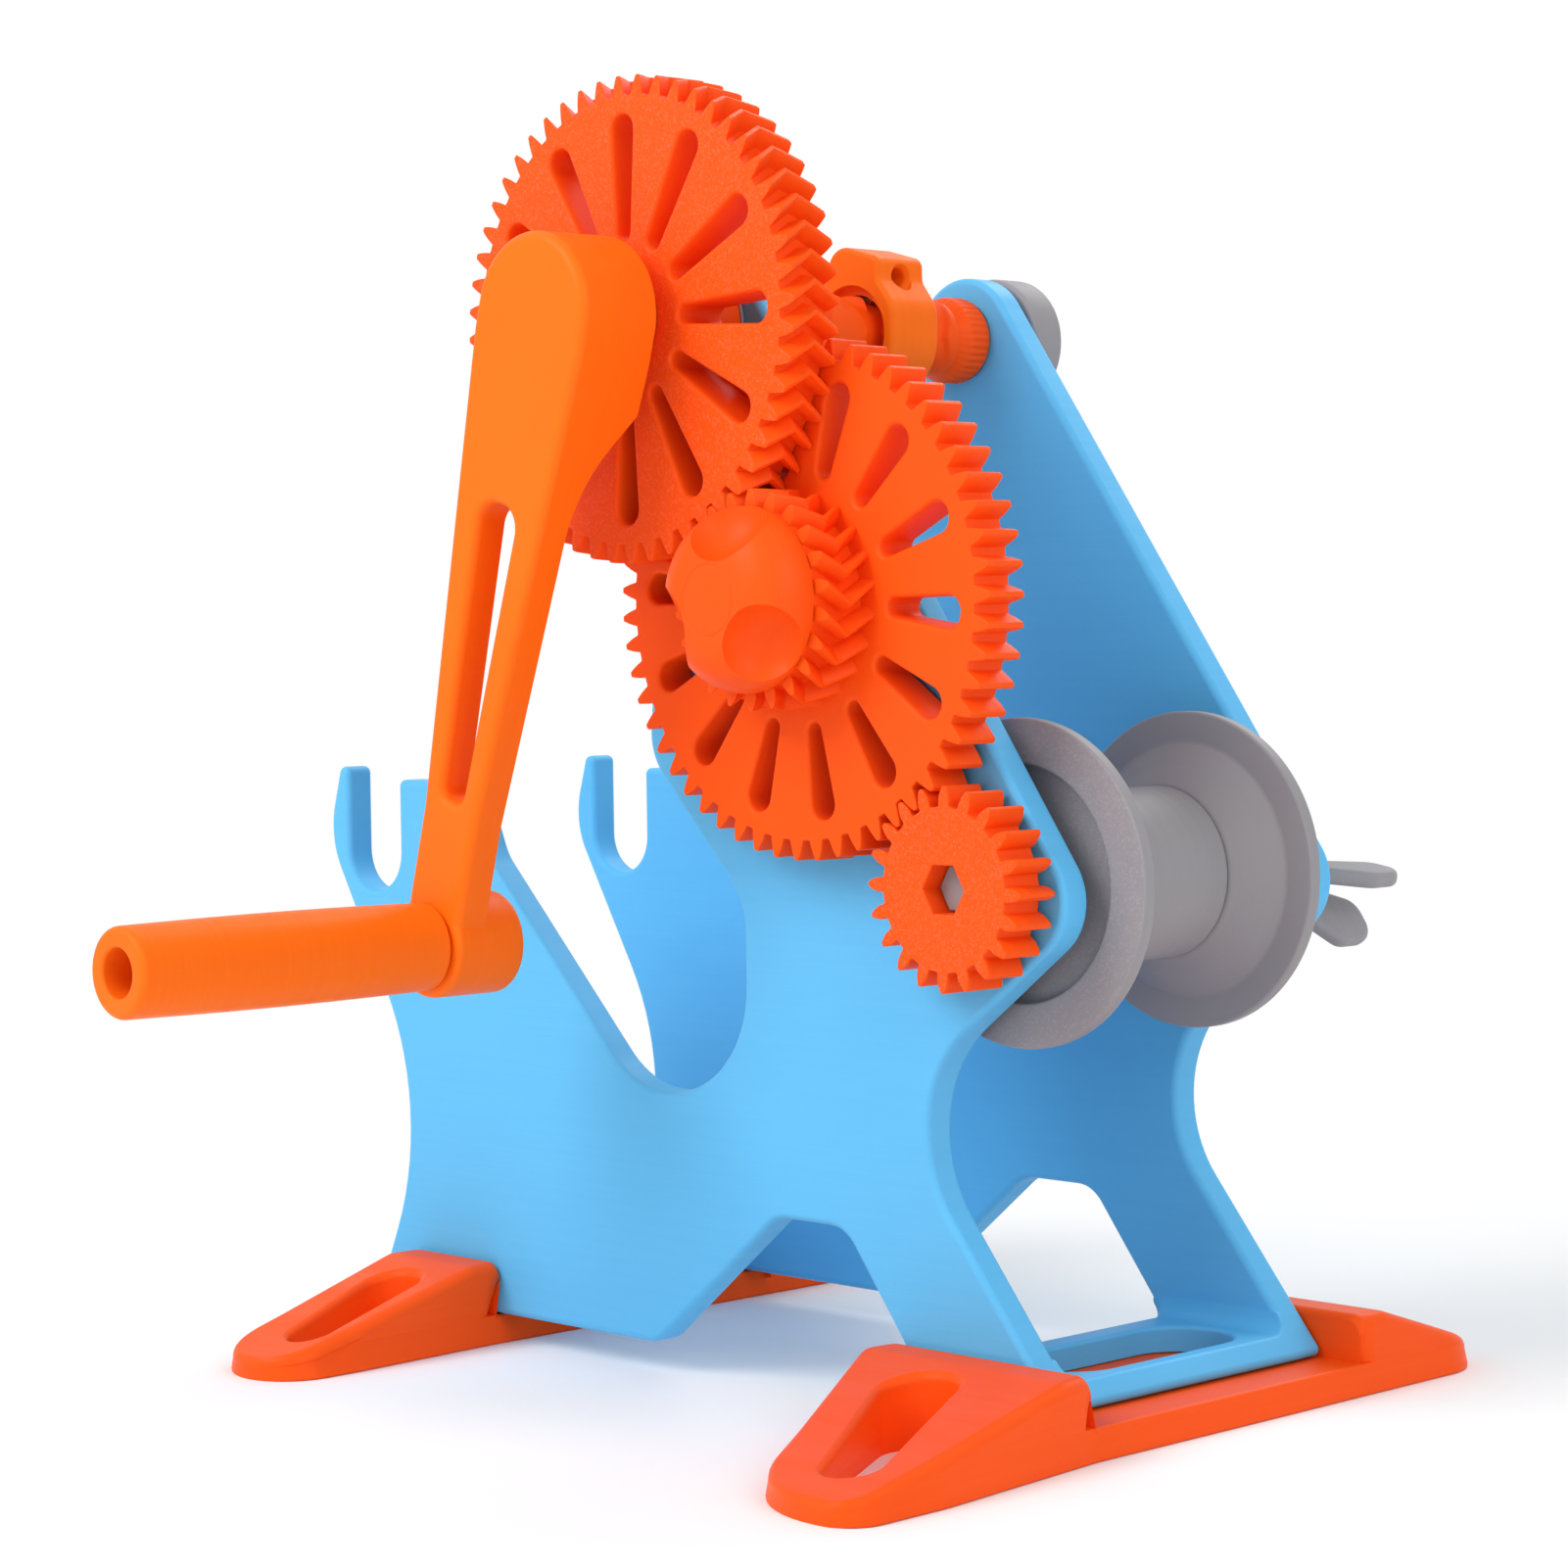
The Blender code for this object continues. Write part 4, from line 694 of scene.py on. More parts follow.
@dataclass
class Slab:
    """Flat piece across Y with holes, whose edges are rounded at both faces.

    The outline may change with y, as the teeth of a herringbone gear do.
    """

    low: float
    high: float
    outer: Loop
    holes: Sequence[Loop] = ()
    outer_edges: tuple[float, float] = (0.0, 0.0)
    hole_edges: tuple[float, float] = (0.0, 0.0)
    steps: int = 4
    outer_at: Optional[Callable[[float], Loop]] = None
    stations: Sequence[float] = ()

    def levels(self) -> list[float]:
        """Places along Y at which the outline is laid down.

        Returns:
            The places, from low to high.
        """
        places = {self.low, self.high, *self.stations}
        for low_edge, high_edge in (self.outer_edges, self.hole_edges):
            places |= {self.low + depth for depth in edge_depths(low_edge, self.steps)}
            places |= {self.high - depth for depth in edge_depths(high_edge, self.steps)}
        kept: list[float] = []
        for place in sorted(places):
            if not kept or place - kept[-1] > LEVEL_STEP:
                kept.append(place)
        kept[-1] = self.high
        return kept

    def stand_back(self, y: float, edges: tuple[float, float]) -> float:
        """Distance of the outline from its full size at a level."""
        return edge_inset(y - self.low, edges[0]) + edge_inset(self.high - y, edges[1])

    def loops_at(self, y: float) -> list[Loop]:
        """Outer loop and holes at a level.

        Args:
            y: The level.

        Returns:
            The loops, the outer one first.
        """
        outline = self.outer_at(y) if self.outer_at else self.outer
        loops = [inset(wound(outline, True), self.stand_back(y, self.outer_edges))]
        back = self.stand_back(y, self.hole_edges)
        return loops + [inset(wound(hole, False), back) for hole in self.holes]

    def item(self, name: str) -> bpy.types.Object:
        """Object of the slab.

        Args:
            name: Name of the object.

        Returns:
            The new object.
        """
        draft = MeshDraft()
        rows = [[draft.ring(y, loop) for loop in self.loops_at(y)] for y in self.levels()]
        for column in zip(*rows):
            draft.walls(column)
        draft.cap(rows[0])
        draft.cap(rows[-1])
        return draft.item(name)


def softened(profile: Sequence[tuple[float, float]], radius: float, steps: int = 3) -> list[Place]:
    """Turning profile with its corners off the axis rounded.

    Args:
        profile: Loop of radius and y.
        radius: Largest radius of a corner.
        steps: Number of sides of a corner.

    Returns:
        The rounded loop.
    """
    made: list[Place] = []
    count = len(profile)
    for k in range(count):
        here = Vector(profile[k])
        before = Vector(profile[k - 1]) - here
        after = Vector(profile[(k + 1) % count]) - here
        if here.x == 0 or before.angle(after, math.pi) > math.radians(165):
            made.append(tuple(here))
            continue
        reach = min(radius, before.length * 0.42, after.length * 0.42)
        start = here + before.normalized() * reach
        end = here + after.normalized() * reach
        for i in range(steps + 1):
            share = i / steps
            made.append(tuple(start * (1 - share) ** 2 + here * (2 * share * (1 - share)) + end * share ** 2))
    return made


def turned(name: str, centre: Place, profile: Sequence[tuple[float, float]], count: int = RIM_SIDES,
           corner: float = 0.0) -> bpy.types.Object:
    """Solid of revolution about an axis along Y.

    Args:
        name: Name of the object.
        centre: Axis in X and Z.
        profile: Closed loop of radius and y.
        count: Number of sides.
        corner: Radius of its corners.

    Returns:
        The new object.
    """
    draft = MeshDraft()
    if corner:
        profile = softened(profile, corner)
    rings = []
    for radius, y in profile:
        if radius == 0:
            rings.append(draft.row([(centre[0], y, centre[1])]))
        else:
            rings.append(draft.ring(y, circle(centre, radius, count)))
    for ring, following in zip(rings, rings[1:] + rings[:1]):
        for k in range(count):
            m = (k + 1) % count
            corners = list(dict.fromkeys((ring[k % len(ring)], ring[m % len(ring)],
                                          following[m % len(following)], following[k % len(following)])))
            if len(corners) > 2:
                draft.faces.append(tuple(corners))
    return draft.item(name)


def settled(item: bpy.types.Object) -> bpy.types.Object:
    """Write the modifiers of an object into its mesh.

    Args:
        item: The object.

    Returns:
        The same object without modifiers.
    """
    graph = bpy.context.evaluated_depsgraph_get()
    mesh = bpy.data.meshes.new_from_object(item.evaluated_get(graph))
    item.modifiers.clear()
    item.data = mesh
    return item


def carve(item: bpy.types.Object, tool: bpy.types.Object, work: Work = Work.CUT) -> bpy.types.Object:
    """Cut, join or trim an object with a tool that is used up.

    Args:
        item: The object.
        tool: The tool.
        work: What the tool does.

    Returns:
        The changed object.
    """
    step = item.modifiers.new("carve", "BOOLEAN")
    step.operation = work.value
    step.solver = "EXACT"
    step.object = tool
    settled(item)
    bpy.data.objects.remove(tool, do_unlink=True)
    return item


def round_edges(item: bpy.types.Object, width: float, angle: float, segments: int = 3) -> bpy.types.Object:
    """Round the sharp edges of an object.

    Args:
        item: The object.
        width: Width of the rounding.
        angle: Smallest angle of an edge that is rounded.
        segments: Number of bands.

    Returns:
        The changed object.
    """
    step = item.modifiers.new("rounding", "BEVEL")
    step.width = width
    step.segments = segments
    step.limit_method = "ANGLE"
    step.angle_limit = angle
    step.use_clamp_overlap = True
    return settled(item)


def fit(item: bpy.types.Object, finish: PrintedPlastic, body: Body, *nodes: str) -> bpy.types.Object:
    """Dress a piece, hang it on its body and let it stand for its CAD nodes.

    Args:
        item: The piece.
        finish: Its finish.
        body: Body that it moves with.
        nodes: CAD nodes that it stands for.

    Returns:
        The piece.
    """
    mesh = item.data
    mesh.materials.clear()
    mesh.materials.append(finish.material())
    mesh.shade_smooth()
    mesh.set_sharp_from_angle(angle=math.radians(38))
    weights = item.modifiers.new("even shading", "WEIGHTED_NORMAL")
    weights.keep_sharp = True
    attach(item, body.value)
    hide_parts(*nodes)
    LOG.info("%s: %d faces, rides on %s", item.name, len(mesh.polygons), body.value)
    return item


@dataclass(frozen=True)
class GearShape:
    """Involute gear seen along its axis."""

    centre: Place
    teeth: int
    phase: float
    module: float = 0.002
    backlash: float = 0.0004
    pressure: float = math.radians(20)
    root_depth: float = 1.2
    fillet: float = 0.00045
    tip_break: float = 0.00014
    samples: int = 5

    @property
    def pitch(self) -> float:
        """Pitch radius."""
        return self.module * self.teeth / 2

    @property
    def root(self) -> float:
        """Radius at the foot of the teeth."""
        return self.pitch - self.root_depth * self.module

    @property
    def tip(self) -> float:
        """Radius at the tip of the teeth."""
        return self.pitch + self.module

    def roll(self, radius: float) -> float:
        """Polar angle of the involute at a radius."""
        base = self.pitch * math.cos(self.pressure)
        if radius <= base:
            return 0.0
        lean = math.acos(base / radius)
        return math.tan(lean) - lean

    def flank(self) -> list[Place]:
        """Half a tooth from its foot to its tip.

        Returns:
            Radius and half angle of each point.
        """
        base = self.pitch * math.cos(self.pressure)
        half = (math.pi * self.module / 2 - self.backlash) / self.pitch / 2 + self.roll(self.pitch)
        low = max(base, self.root + self.fillet)
        made: list[Place] = []
        foot = min(half - self.roll(low) + self.fillet / self.root, math.pi / self.teeth * 0.97)
        for k in range(4):
            turn = k * math.pi / 6
            made.append((self.root + self.fillet * (1 - math.cos(turn)),
                         foot - (foot - half + self.roll(low)) * math.sin(turn)))
        high = self.tip - self.tip_break
        for k in range(1 if low <= self.root + self.fillet else 0, self.samples + 1):
            radius = low + (high - low) * k / self.samples
            made.append((radius, half - self.roll(radius)))
        made.append((self.tip, half - self.roll(self.tip) - self.tip_break / self.tip))
        return made

    def outline(self, turn: float = 0.0) -> Loop:
        """Outline of the whole gear.

        Args:
            turn: Angle by which the teeth are turned from their place.

        Returns:
            The loop.
        """
        flank = self.flank()
        loop: Loop = []
        for tooth in range(self.teeth):
            middle = self.phase + turn + 2 * math.pi * tooth / self.teeth
            loop.extend(polar(self.centre, radius, middle - half) for radius, half in flank)
            loop.extend(polar(self.centre, radius, middle + half) for radius, half in reversed(flank))
        return loop

    def slots(self, count: int, inner: float, first: float, narrow: float, wide: float,
              margin: float) -> list[Loop]:
        """Ring of slots that widen outwards.

        Args:
            count: Number of slots.
            inner: Radius at which they start.
            first: Angle of the first slot.
            narrow: Radius of the inner end.
            wide: Radius of the outer end.
            margin: Width of the rim below the teeth.

        Returns:
            The loops.
        """
        outer = self.root - margin
        made = []
        for k in range(count):
            angle = first + 2 * math.pi * k / count
            start, end = (polar(self.centre, reach, angle) for reach in (inner + narrow, outer - wide))
            made.append(tapered_slot(start, end, narrow, wide))
        return made


def wrap_corner(centre: Place, radius: float, before: Place, after: Place) -> Place:
    """Corner whose two sides touch the circle round a centre.

    Args:
        centre: Centre of the circle.
        radius: Its radius.
        before: Place that the first side comes from.
        after: Place that the second side goes to.

    Returns:
        The corner.
    """
    lines = []
    for place, hand in ((before, 1), (after, -1)):
        away = Vector(centre) - Vector(place)
        angle = math.atan2(away.y, away.x) + hand * math.asin(radius / away.length)
        lines.append((Vector(place), Vector((math.cos(angle), math.sin(angle)))))
    (start, along), (end, back) = lines
    corner = start + along * ((end - start).cross(back) / along.cross(back))
    return (corner.x, corner.y)


@dataclass
class SidePlates:
    """The two side plates with their rod hooks, arch and tower."""

    layout: Layout
    edge: float = 0.0016
    nose_round: float = 0.0132
    tower_round: float = 0.0152
    rod_reach: float = 0.2094
    rod_slot_width: float = 0.0202
    rod_slot_depth: float = 0.0280
    hook_round: float = 0.0208
    horn_tip_width: float = 0.0038
    post_round: float = 0.0080
    post_heel_round: float = 0.0150
    rear_waist_round: float = 0.0650
    valley_round: float = 0.0262
    tower_heel_round: float = 0.0176
    tower_neck_round: float = 0.0140
    front_waist_round: float = 0.0290
    arch_round: float = 0.0095
    leg_front: float = 0.0205
    leg_rear: float = 0.0178

    def outline(self) -> Loop:
        """Outline of a plate: hook, rod slot, valley, tower, nose, waist, leg and arch.

        Returns:
            The loop.
        """
        foot = self.layout.plate_foot
        nose = self.layout.spool_height
        rise = nose - foot
        run = self.rod_reach
        slot_left = -run - self.rod_slot_width / 2
        slot_right = -run + self.rod_slot_width / 2
        post_top = nose + rise * 0.170
        horn_top = post_top + self.horn_tip_width * 0.76
        slot_floor = post_top - self.rod_slot_depth
        neck = (-run * 0.505, nose + rise * 0.238)
        front = (self.nose_round * 2.12, nose - self.nose_round * 0.42)
        tower = wrap_corner(self.layout.crank_axis, self.tower_round, neck, front)
        tip = self.horn_tip_width * 0.46
        end = self.rod_slot_width * 0.495
        return rounded_outline([
            (-run * 1.008, foot, self.edge),
            (-run * 0.905, foot + rise * 0.432, self.rear_waist_round),
            (slot_left - self.hook_round * 0.44, nose + rise * 0.034, self.hook_round),
            (slot_left - self.horn_tip_width, horn_top, tip),
            (slot_left, horn_top, tip),
            (slot_left, slot_floor, end),
            (slot_right, slot_floor, end),
            (slot_right, post_top, self.edge),
            (-run * 0.823, post_top, self.post_round),
            (-run * 0.788, nose + rise * 0.010, self.post_heel_round),
            (-run * 0.540, foot + rise * 0.536, self.valley_round),
            (-run * 0.355, foot + rise * 0.536, self.valley_round),
            (-run * 0.355, nose - rise * 0.057, self.tower_heel_round),
            (neck[0], neck[1], self.tower_neck_round),
            (tower[0], tower[1], self.tower_round),
            (front[0], front[1], self.nose_round),
            (-run * 0.140, foot + rise * 0.556, self.front_waist_round),
            (self.leg_front, foot, self.edge),
            (-self.leg_rear, foot, self.edge),
            (-run * 0.208, foot + rise * 0.303, self.arch_round),
            (-run * 0.310, foot + rise * 0.303, self.arch_round),
            (-run * 0.506, foot, self.arch_round),
        ], math.radians(4))

    def build(self) -> list[bpy.types.Object]:
        """Both plates.

        Returns:
            The pieces.
        """
        lay = self.layout
        seat = 2 * lay.gap + lay.bush_wall
        holes = [circle(lay.crank_axis, lay.shaft_radius + seat, BORE_SIDES),
                 circle(lay.spool_axis, lay.axle_radius + seat, BORE_SIDES)]
        edges = (self.edge, self.edge)
        stud = circle(lay.stud_axis, lay.stud_radius + lay.gap, BORE_SIDES)
        outer = self.outline()
        near = Slab(lay.near_out, lay.near_in, outer, [*holes, stud], edges, steps=5)
        far = Slab(lay.far_in, lay.far_out, outer, holes, edges, steps=5)
        return [fit(near.item("near_plate"), BLUE_UP, Body.FRAME, "near_side_plate"),
                fit(far.item("far_plate"), BLUE_UP, Body.FRAME, "far_side_plate")]


def stacked(name: str, sections: Sequence[tuple[float, Loop]]) -> bpy.types.Object:
    """Solid through sections across Y that follow each other.

    Args:
        name: Name of the object.
        sections: Place and outline of each section.

    Returns:
        The new object.
    """
    draft = MeshDraft()
    rows = [draft.ring(y, loop) for y, loop in sections]
    draft.walls(rows)
    draft.cap([rows[0]])
    draft.cap([rows[-1]])
    return draft.item(name)


def upright_slot(loop: Loop, low: float, surface: Callable[[float], float], rim: float) -> bpy.types.Object:
    """Cutter for a hole along Z whose upper rim is rounded.

    Args:
        loop: Outline of the hole in X and Y.
        low: Lower end of the cutter.
        surface: Height of the surface at a y.
        rim: Radius of the rim.

    Returns:
        The cutter.
    """
    draft = MeshDraft()
    plain = wound(loop, False)
    rows = [draft.row([(x, y, low) for x, y in plain])]
    depths = edge_depths(rim, 6)[:0:-1]
    for depth in depths:
        wide = inset(plain, edge_inset(depth, rim))
        rows.append(draft.row([(x, y, surface(y) - depth) for x, y in wide]))
    last, before = depths[-1], depths[-2]
    slope = (edge_inset(last, rim) - edge_inset(before, rim)) / (before - last)
    wide = inset(plain, edge_inset(last, rim) + slope * 2 * last)
    rows.append(draft.row([(x, y, surface(y) + last) for x, y in wide]))
    rows.append(draft.row([(x, y, surface(y) + 3 * rim) for x, y in wide]))
    draft.column(rows)
    return draft.item("slot_cutter")


def along_chain(chain: Sequence[Place], y: float) -> float:
    """Value of a chain of places at a y.

    Args:
        chain: Places (value, y) in the order of y.
        y: Where to read it.

    Returns:
        The value there.
    """
    if y <= chain[0][1]:
        return chain[0][0]
    for before, after in zip(chain, chain[1:]):
        if y <= after[1]:
            share = (y - before[1]) / max(after[1] - before[1], HAIR)
            return before[0] + (after[0] - before[0]) * share
    return chain[-1][0]


@dataclass
class Foot:
    """One orange foot: ramps with tapered slots at both ends, and a bar between the side plates."""

    layout: Layout
    name: str
    node: str
    middle: float
    width: float
    lip_height: float
    near_reach: float
    far_reach: float
    flare: float
    tip_share: float
    tip_rounds: tuple[float, float, float, float]
    slot_widths: tuple[float, float]
    slot_side: float
    slot_skew: float
    overhang: float = 0.0
    flare_share: float = 0.65
    flare_round: float = 0.040
    tip_height: float = 0.0048
    lip_run: float = 0.009
    rim: float = 0.0028
    slot_rim: float = 0.0019
    slot_start: float = 0.0235
    slot_inset: float = 0.0175
    hip_round: float = 0.0115
    draft: float = 0.0016
    nose_run: float = 0.0046
    nose_low: float = 0.0062
    nose_high: float = 0.0014
    sole_edge: float = 0.0008
    lip_rim: float = 0.0038
    bar_rim: float = 0.0009
    wall_step: float = 0.00001
    waist_room: float = 0.0002
    tip_edge_share: float = 0.4
    rim_share: float = 0.36

    def chains(self) -> tuple[list[Place], list[Place]]:
        """Front and rear side of the plan, each as places (x, y) from the near to the far tip.

        Returns:
            The two chains.
        """
        lay = self.layout
        near = lay.near_out - self.near_reach
        far = lay.far_out + self.far_reach
        rear = self.middle - self.width / 2
        front = self.middle + self.width / 2
        tip = self.middle + self.width * self.tip_share
        near_front, near_back, far_front, far_back = self.tip_rounds
        flared = front + self.flare
        loop = rounded_outline([
            (flared, near, near_front),
            (flared, lay.near_out - self.near_reach * self.flare_share, self.flare_round),
            (front, lay.near_out, self.flare_round), (front, far, far_front), (tip, far, far_back),
            (rear, lay.far_out + self.lip_run, self.hip_round),
            (rear, lay.near_out - self.lip_run, self.hip_round), (tip, near, near_back)])
        turn = next(k for k, place in enumerate(loop) if place[1] > far - LEVEL_STEP)
        return loop[:turn + 1], sorted(loop[turn + 1:], key=lambda place: place[1])

    def ramp(self, wall: float, tip: float) -> list[Place]:
        """Height of one ramp and its lip, as places (z, distance from the wall).

        Args:
            wall: Wall of the lip next to the plate.
            tip: Outer end of the foot.

        Returns:
            The chain, from the wall outwards.
        """
        reach = abs(tip - wall)
        lip = self.layout.sole_thickness + self.lip_height
        side = rounded_outline([(0.0, 0.0, 0.0), (0.0, lip, self.rim * 0.6),
                                (self.lip_run, lip, self.lip_run), (reach, self.tip_height, 0.0),
                                (reach, 0.0, 0.0)])
        return [(z, run) for run, z in side if z > LEVEL_STEP]

    def height(self, y: float) -> float:
        """Height of the foot's upper side.

        Args:
            y: Where to read it.

        Returns:
            The height.
        """
        lay = self.layout
        if y <= lay.near_out - lay.gap:
            wall, tip = lay.near_out - lay.gap, lay.near_out - self.near_reach
        elif y >= lay.far_out + lay.gap:
            wall, tip = lay.far_out + lay.gap, lay.far_out + self.far_reach
        else:
            return lay.sole_thickness
        top = along_chain(self.ramp(wall, tip)[1:], abs(y - wall))
        return top - edge_inset(abs(tip - y), min(self.rim, self.tip_height * self.tip_edge_share))

    def section(self, top: float, sides: tuple[float, float], rim: float,
                nose: tuple[float, float], swell: float) -> Loop:
        """Outline of the foot across Y.

        Args:
            top: Height of the section.
            sides: X of its front and rear side.
            rim: Radius of its upper edges.
            nose: How far the sides stand back above the bar, at their lower and upper end.
            swell: How far the front side stands out at its upper end.

        Returns:
            The loop.
        """
        sole = self.layout.sole_thickness
        waist = min(sole, top - rim - self.waist_room)
        lean = self.draft * waist / sole
        edge = self.sole_edge
        loops = []
        for out in (swell, 0.0):
            high = lean + nose[1] - out
            half: list[Place] = [(edge, 0.0), (edge * 0.3, edge * 0.3), (lean * edge / sole, edge),
                                 (lean, waist - self.waist_room / 2), (lean + nose[0], waist)]
            for k in range(7):
                turn = k * math.pi / 12
                half.append((high + rim * (1 - math.cos(turn)), top - rim * (1 - math.sin(turn))))
            loops.append(half)
        return [(sides[0] - x, z) for x, z in loops[0]] + [(sides[1] + x, z) for x, z in reversed(loops[1])]

    def stations(self, front: Sequence[Place], rear: Sequence[Place]) -> list[float]:
        """Places along Y where sections are laid down.

        Args:
            front: Front side of the plan.
            rear: Rear side of the plan.

        Returns:
            The places, from near to far.
        """
        lay = self.layout
        near, far = lay.near_out - self.near_reach, lay.far_out + self.far_reach
        places = {y for _, y in front} | {y for _, y in rear} | {near, far}
        for wall, tip, out in ((lay.near_out - lay.gap, near, -1), (lay.far_out + lay.gap, far, 1)):
            places |= {wall + out * run for _, run in self.ramp(wall, tip)}
            places |= {tip - out * depth for depth in edge_depths(self.tip_height * self.tip_edge_share, 5)}
            places |= {wall + out * depth for depth in edge_depths(self.nose_run, 7)}
        kept = []
        for y in sorted(places):
            inside = near - HAIR <= y <= far + HAIR and abs(y) > lay.far_out
            if inside and (not kept or y - kept[-1] > STATION_STEP):
                kept.append(y)
        return kept

    def body(self) -> bpy.types.Object:
        """Foot without its slots.

        Returns:
            The object.
        """
        lay = self.layout
        front, rear = self.chains()
        made: list[tuple[float, Loop]] = []
        middle_done = False
        walls = (lay.near_out - lay.gap, lay.far_out + lay.gap)
        for y in self.stations(front, rear):
            if y > 0 and not middle_done:
                middle_done = True
                for wall in walls:
                    made.append((wall - math.copysign(self.wall_step, wall), self.section(
                        lay.sole_thickness, (along_chain(front, wall), along_chain(rear, wall)),
                        self.bar_rim, (0.0, 0.0), 0.0)))
            wall, reach = (walls[0], self.near_reach) if y < 0 else (walls[1], self.far_reach)
            away = abs(y - wall)
            round_share = edge_inset(away, self.nose_run) / self.nose_run
            top = self.height(y)
            rim = min(self.rim + (self.lip_rim - self.rim) * max(0.0, 1 - away / self.lip_run),
                      top * self.rim_share)
            swell = self.overhang * max(0.0, 1 - away / reach)
            made.append((y, self.section(top, (along_chain(front, y), along_chain(rear, y)), rim,
                                         (self.nose_low * round_share, self.nose_high * round_share), swell)))
        return stacked(self.name, made)

    def build(self) -> list[bpy.types.Object]:
        """The foot.

        Returns:
            The piece.
        """
        lay = self.layout
        foot = self.body()
        radii = (self.slot_widths[0] / 2, self.slot_widths[1] / 2)
        for wall, sign, reach in ((lay.near_out, -1, self.near_reach), (lay.far_out, 1, self.far_reach)):
            run = reach - self.slot_inset - self.slot_start
            start = (self.middle + self.slot_widths[1] * self.slot_side, wall + sign * self.slot_start)
            end = (start[0] + run * self.slot_skew, start[1] + sign * run)
            loop = tapered_slot(start, end, radii[0], radii[1], 18)
            carve(foot, upright_slot(loop, -lay.overrun, self.height, self.slot_rim))
        return [fit(foot, ORANGE_UP, Body.FRAME, self.node)]


@dataclass
class CrossBar:
    """Blue bar between the side plates, which flows into them with a fillet."""

    layout: Layout
    name: str
    node: str
    rear: float
    front: float
    leans: tuple[float, float] = (0.0, 0.0)
    slot: Optional[tuple[float, float, float]] = None
    thickness: float = 0.0059
    edge: float = 0.0015
    fillet: float = 0.0045
    sink: float = 0.0020
    slot_rim: float = 0.0010

    def top(self, y: float) -> float:
        """Height of the bar's upper side."""
        lay = self.layout
        return lay.plate_foot + self.thickness + edge_inset(lay.far_in - abs(y), self.fillet)

    def build(self) -> list[bpy.types.Object]:
        """The bar.

        Returns:
            The piece.
        """
        lay = self.layout
        made: list[tuple[float, Loop]] = []
        depths = [-self.sink, *edge_depths(self.fillet, 6)]
        places = [lay.near_in + depth for depth in depths]
        places += [lay.far_in - depth for depth in reversed(depths)]
        for y in places:
            top = self.top(y)
            low = lay.plate_foot
            back, ahead = ((top - low) * lean for lean in self.leans)
            corners = [(self.rear, low, self.edge), (self.rear - back, top, self.edge),
                       (self.front - ahead, top, self.edge), (self.front, low, self.edge)]
            made.append((y, rounded_outline(corners, math.radians(18))))
        bar = stacked(self.name, made)
        if self.slot:
            middle, width, length = self.slot
            half = length / 2 - width / 2
            loop = tapered_slot((middle, -half), (middle, half), width / 2, width / 2, 24)
            carve(bar, upright_slot(loop, lay.plate_foot - lay.overrun, self.top, self.slot_rim))
        return [fit(bar, BLUE_UP, Body.FRAME, self.node)]


@dataclass
class Bushes:
    """Flanged bushes in the plates, and the spacer sleeves on the shafts."""

    layout: Layout
    flange_width: float = 0.0020
    corner: float = 0.0003

    def bush(self, name: str, node: str, centre: Place, shaft: float, side: int) -> bpy.types.Object:
        """One bush in a plate.

        Args:
            name: Name of the piece.
            node: CAD node that it stands for.
            centre: Axis of the bore.
            shaft: Radius of the shaft in it.
            side: -1 for the near plate, 1 for the far one.

        Returns:
            The piece.
        """
        lay = self.layout
        bore = shaft + lay.gap
        outer = bore + lay.bush_wall
        rim = outer + self.flange_width
        inner = side * lay.far_in
        face = side * (lay.far_out + lay.gap)
        lid = side * (lay.far_out + lay.bush_flange)
        profile = [(bore, inner), (outer, inner), (outer, face), (rim, face), (rim, lid), (bore, lid)]
        bush = turned(name, centre, profile, BORE_SIDES, self.corner)
        return fit(bush, GREY_ACROSS, Body.FRAME, node)

    def sleeve(self, name: str, node: str, place: tuple[Place, float], span: tuple[float, float],
               finish: PrintedPlastic, body: Body) -> bpy.types.Object:
        """Plain sleeve between two neighbours on a shaft.

        Args:
            name: Name of the piece.
            node: CAD node that it stands for.
            place: Axis and bore radius.
            span: Its two ends along Y.
            finish: Its finish.
            body: Body that it turns with.

        Returns:
            The piece.
        """
        centre, bore = place
        outer = bore + self.layout.bush_wall * 2
        profile = [(bore, span[0]), (outer, span[0]), (outer, span[1]), (bore, span[1])]
        return fit(turned(name, centre, profile, BORE_SIDES, self.corner), finish, body, node)

    def build(self) -> list[bpy.types.Object]:
        """All bushes and sleeves.

        Returns:
            The pieces.
        """
        lay = self.layout
        shaft = (lay.crank_axis, lay.shaft_radius + lay.gap)
        return [
            self.bush("screw_bush_near", "screw_near_bush", lay.crank_axis, lay.shaft_radius, -1),
            self.bush("screw_bush_far", "screw_far_bush", lay.crank_axis, lay.shaft_radius, 1),
            self.bush("axle_bush_near", "axle_near_bush", lay.spool_axis, lay.axle_radius, -1),
            self.bush("axle_bush_far", "axle_far_bush", lay.spool_axis, lay.axle_radius, 1),
            self.sleeve("hub_spacer", "crank_spacer", shaft,
                        (lay.hub_back + lay.gap, lay.herringbone_front - lay.gap), ORANGE_ACROSS, Body.CRANK),
            self.sleeve("drive_sleeve", "drive_gear_sleeve", shaft,
                        (lay.herringbone_back + lay.gap, lay.wheel_back), ORANGE_ACROSS, Body.CRANK),
        ]


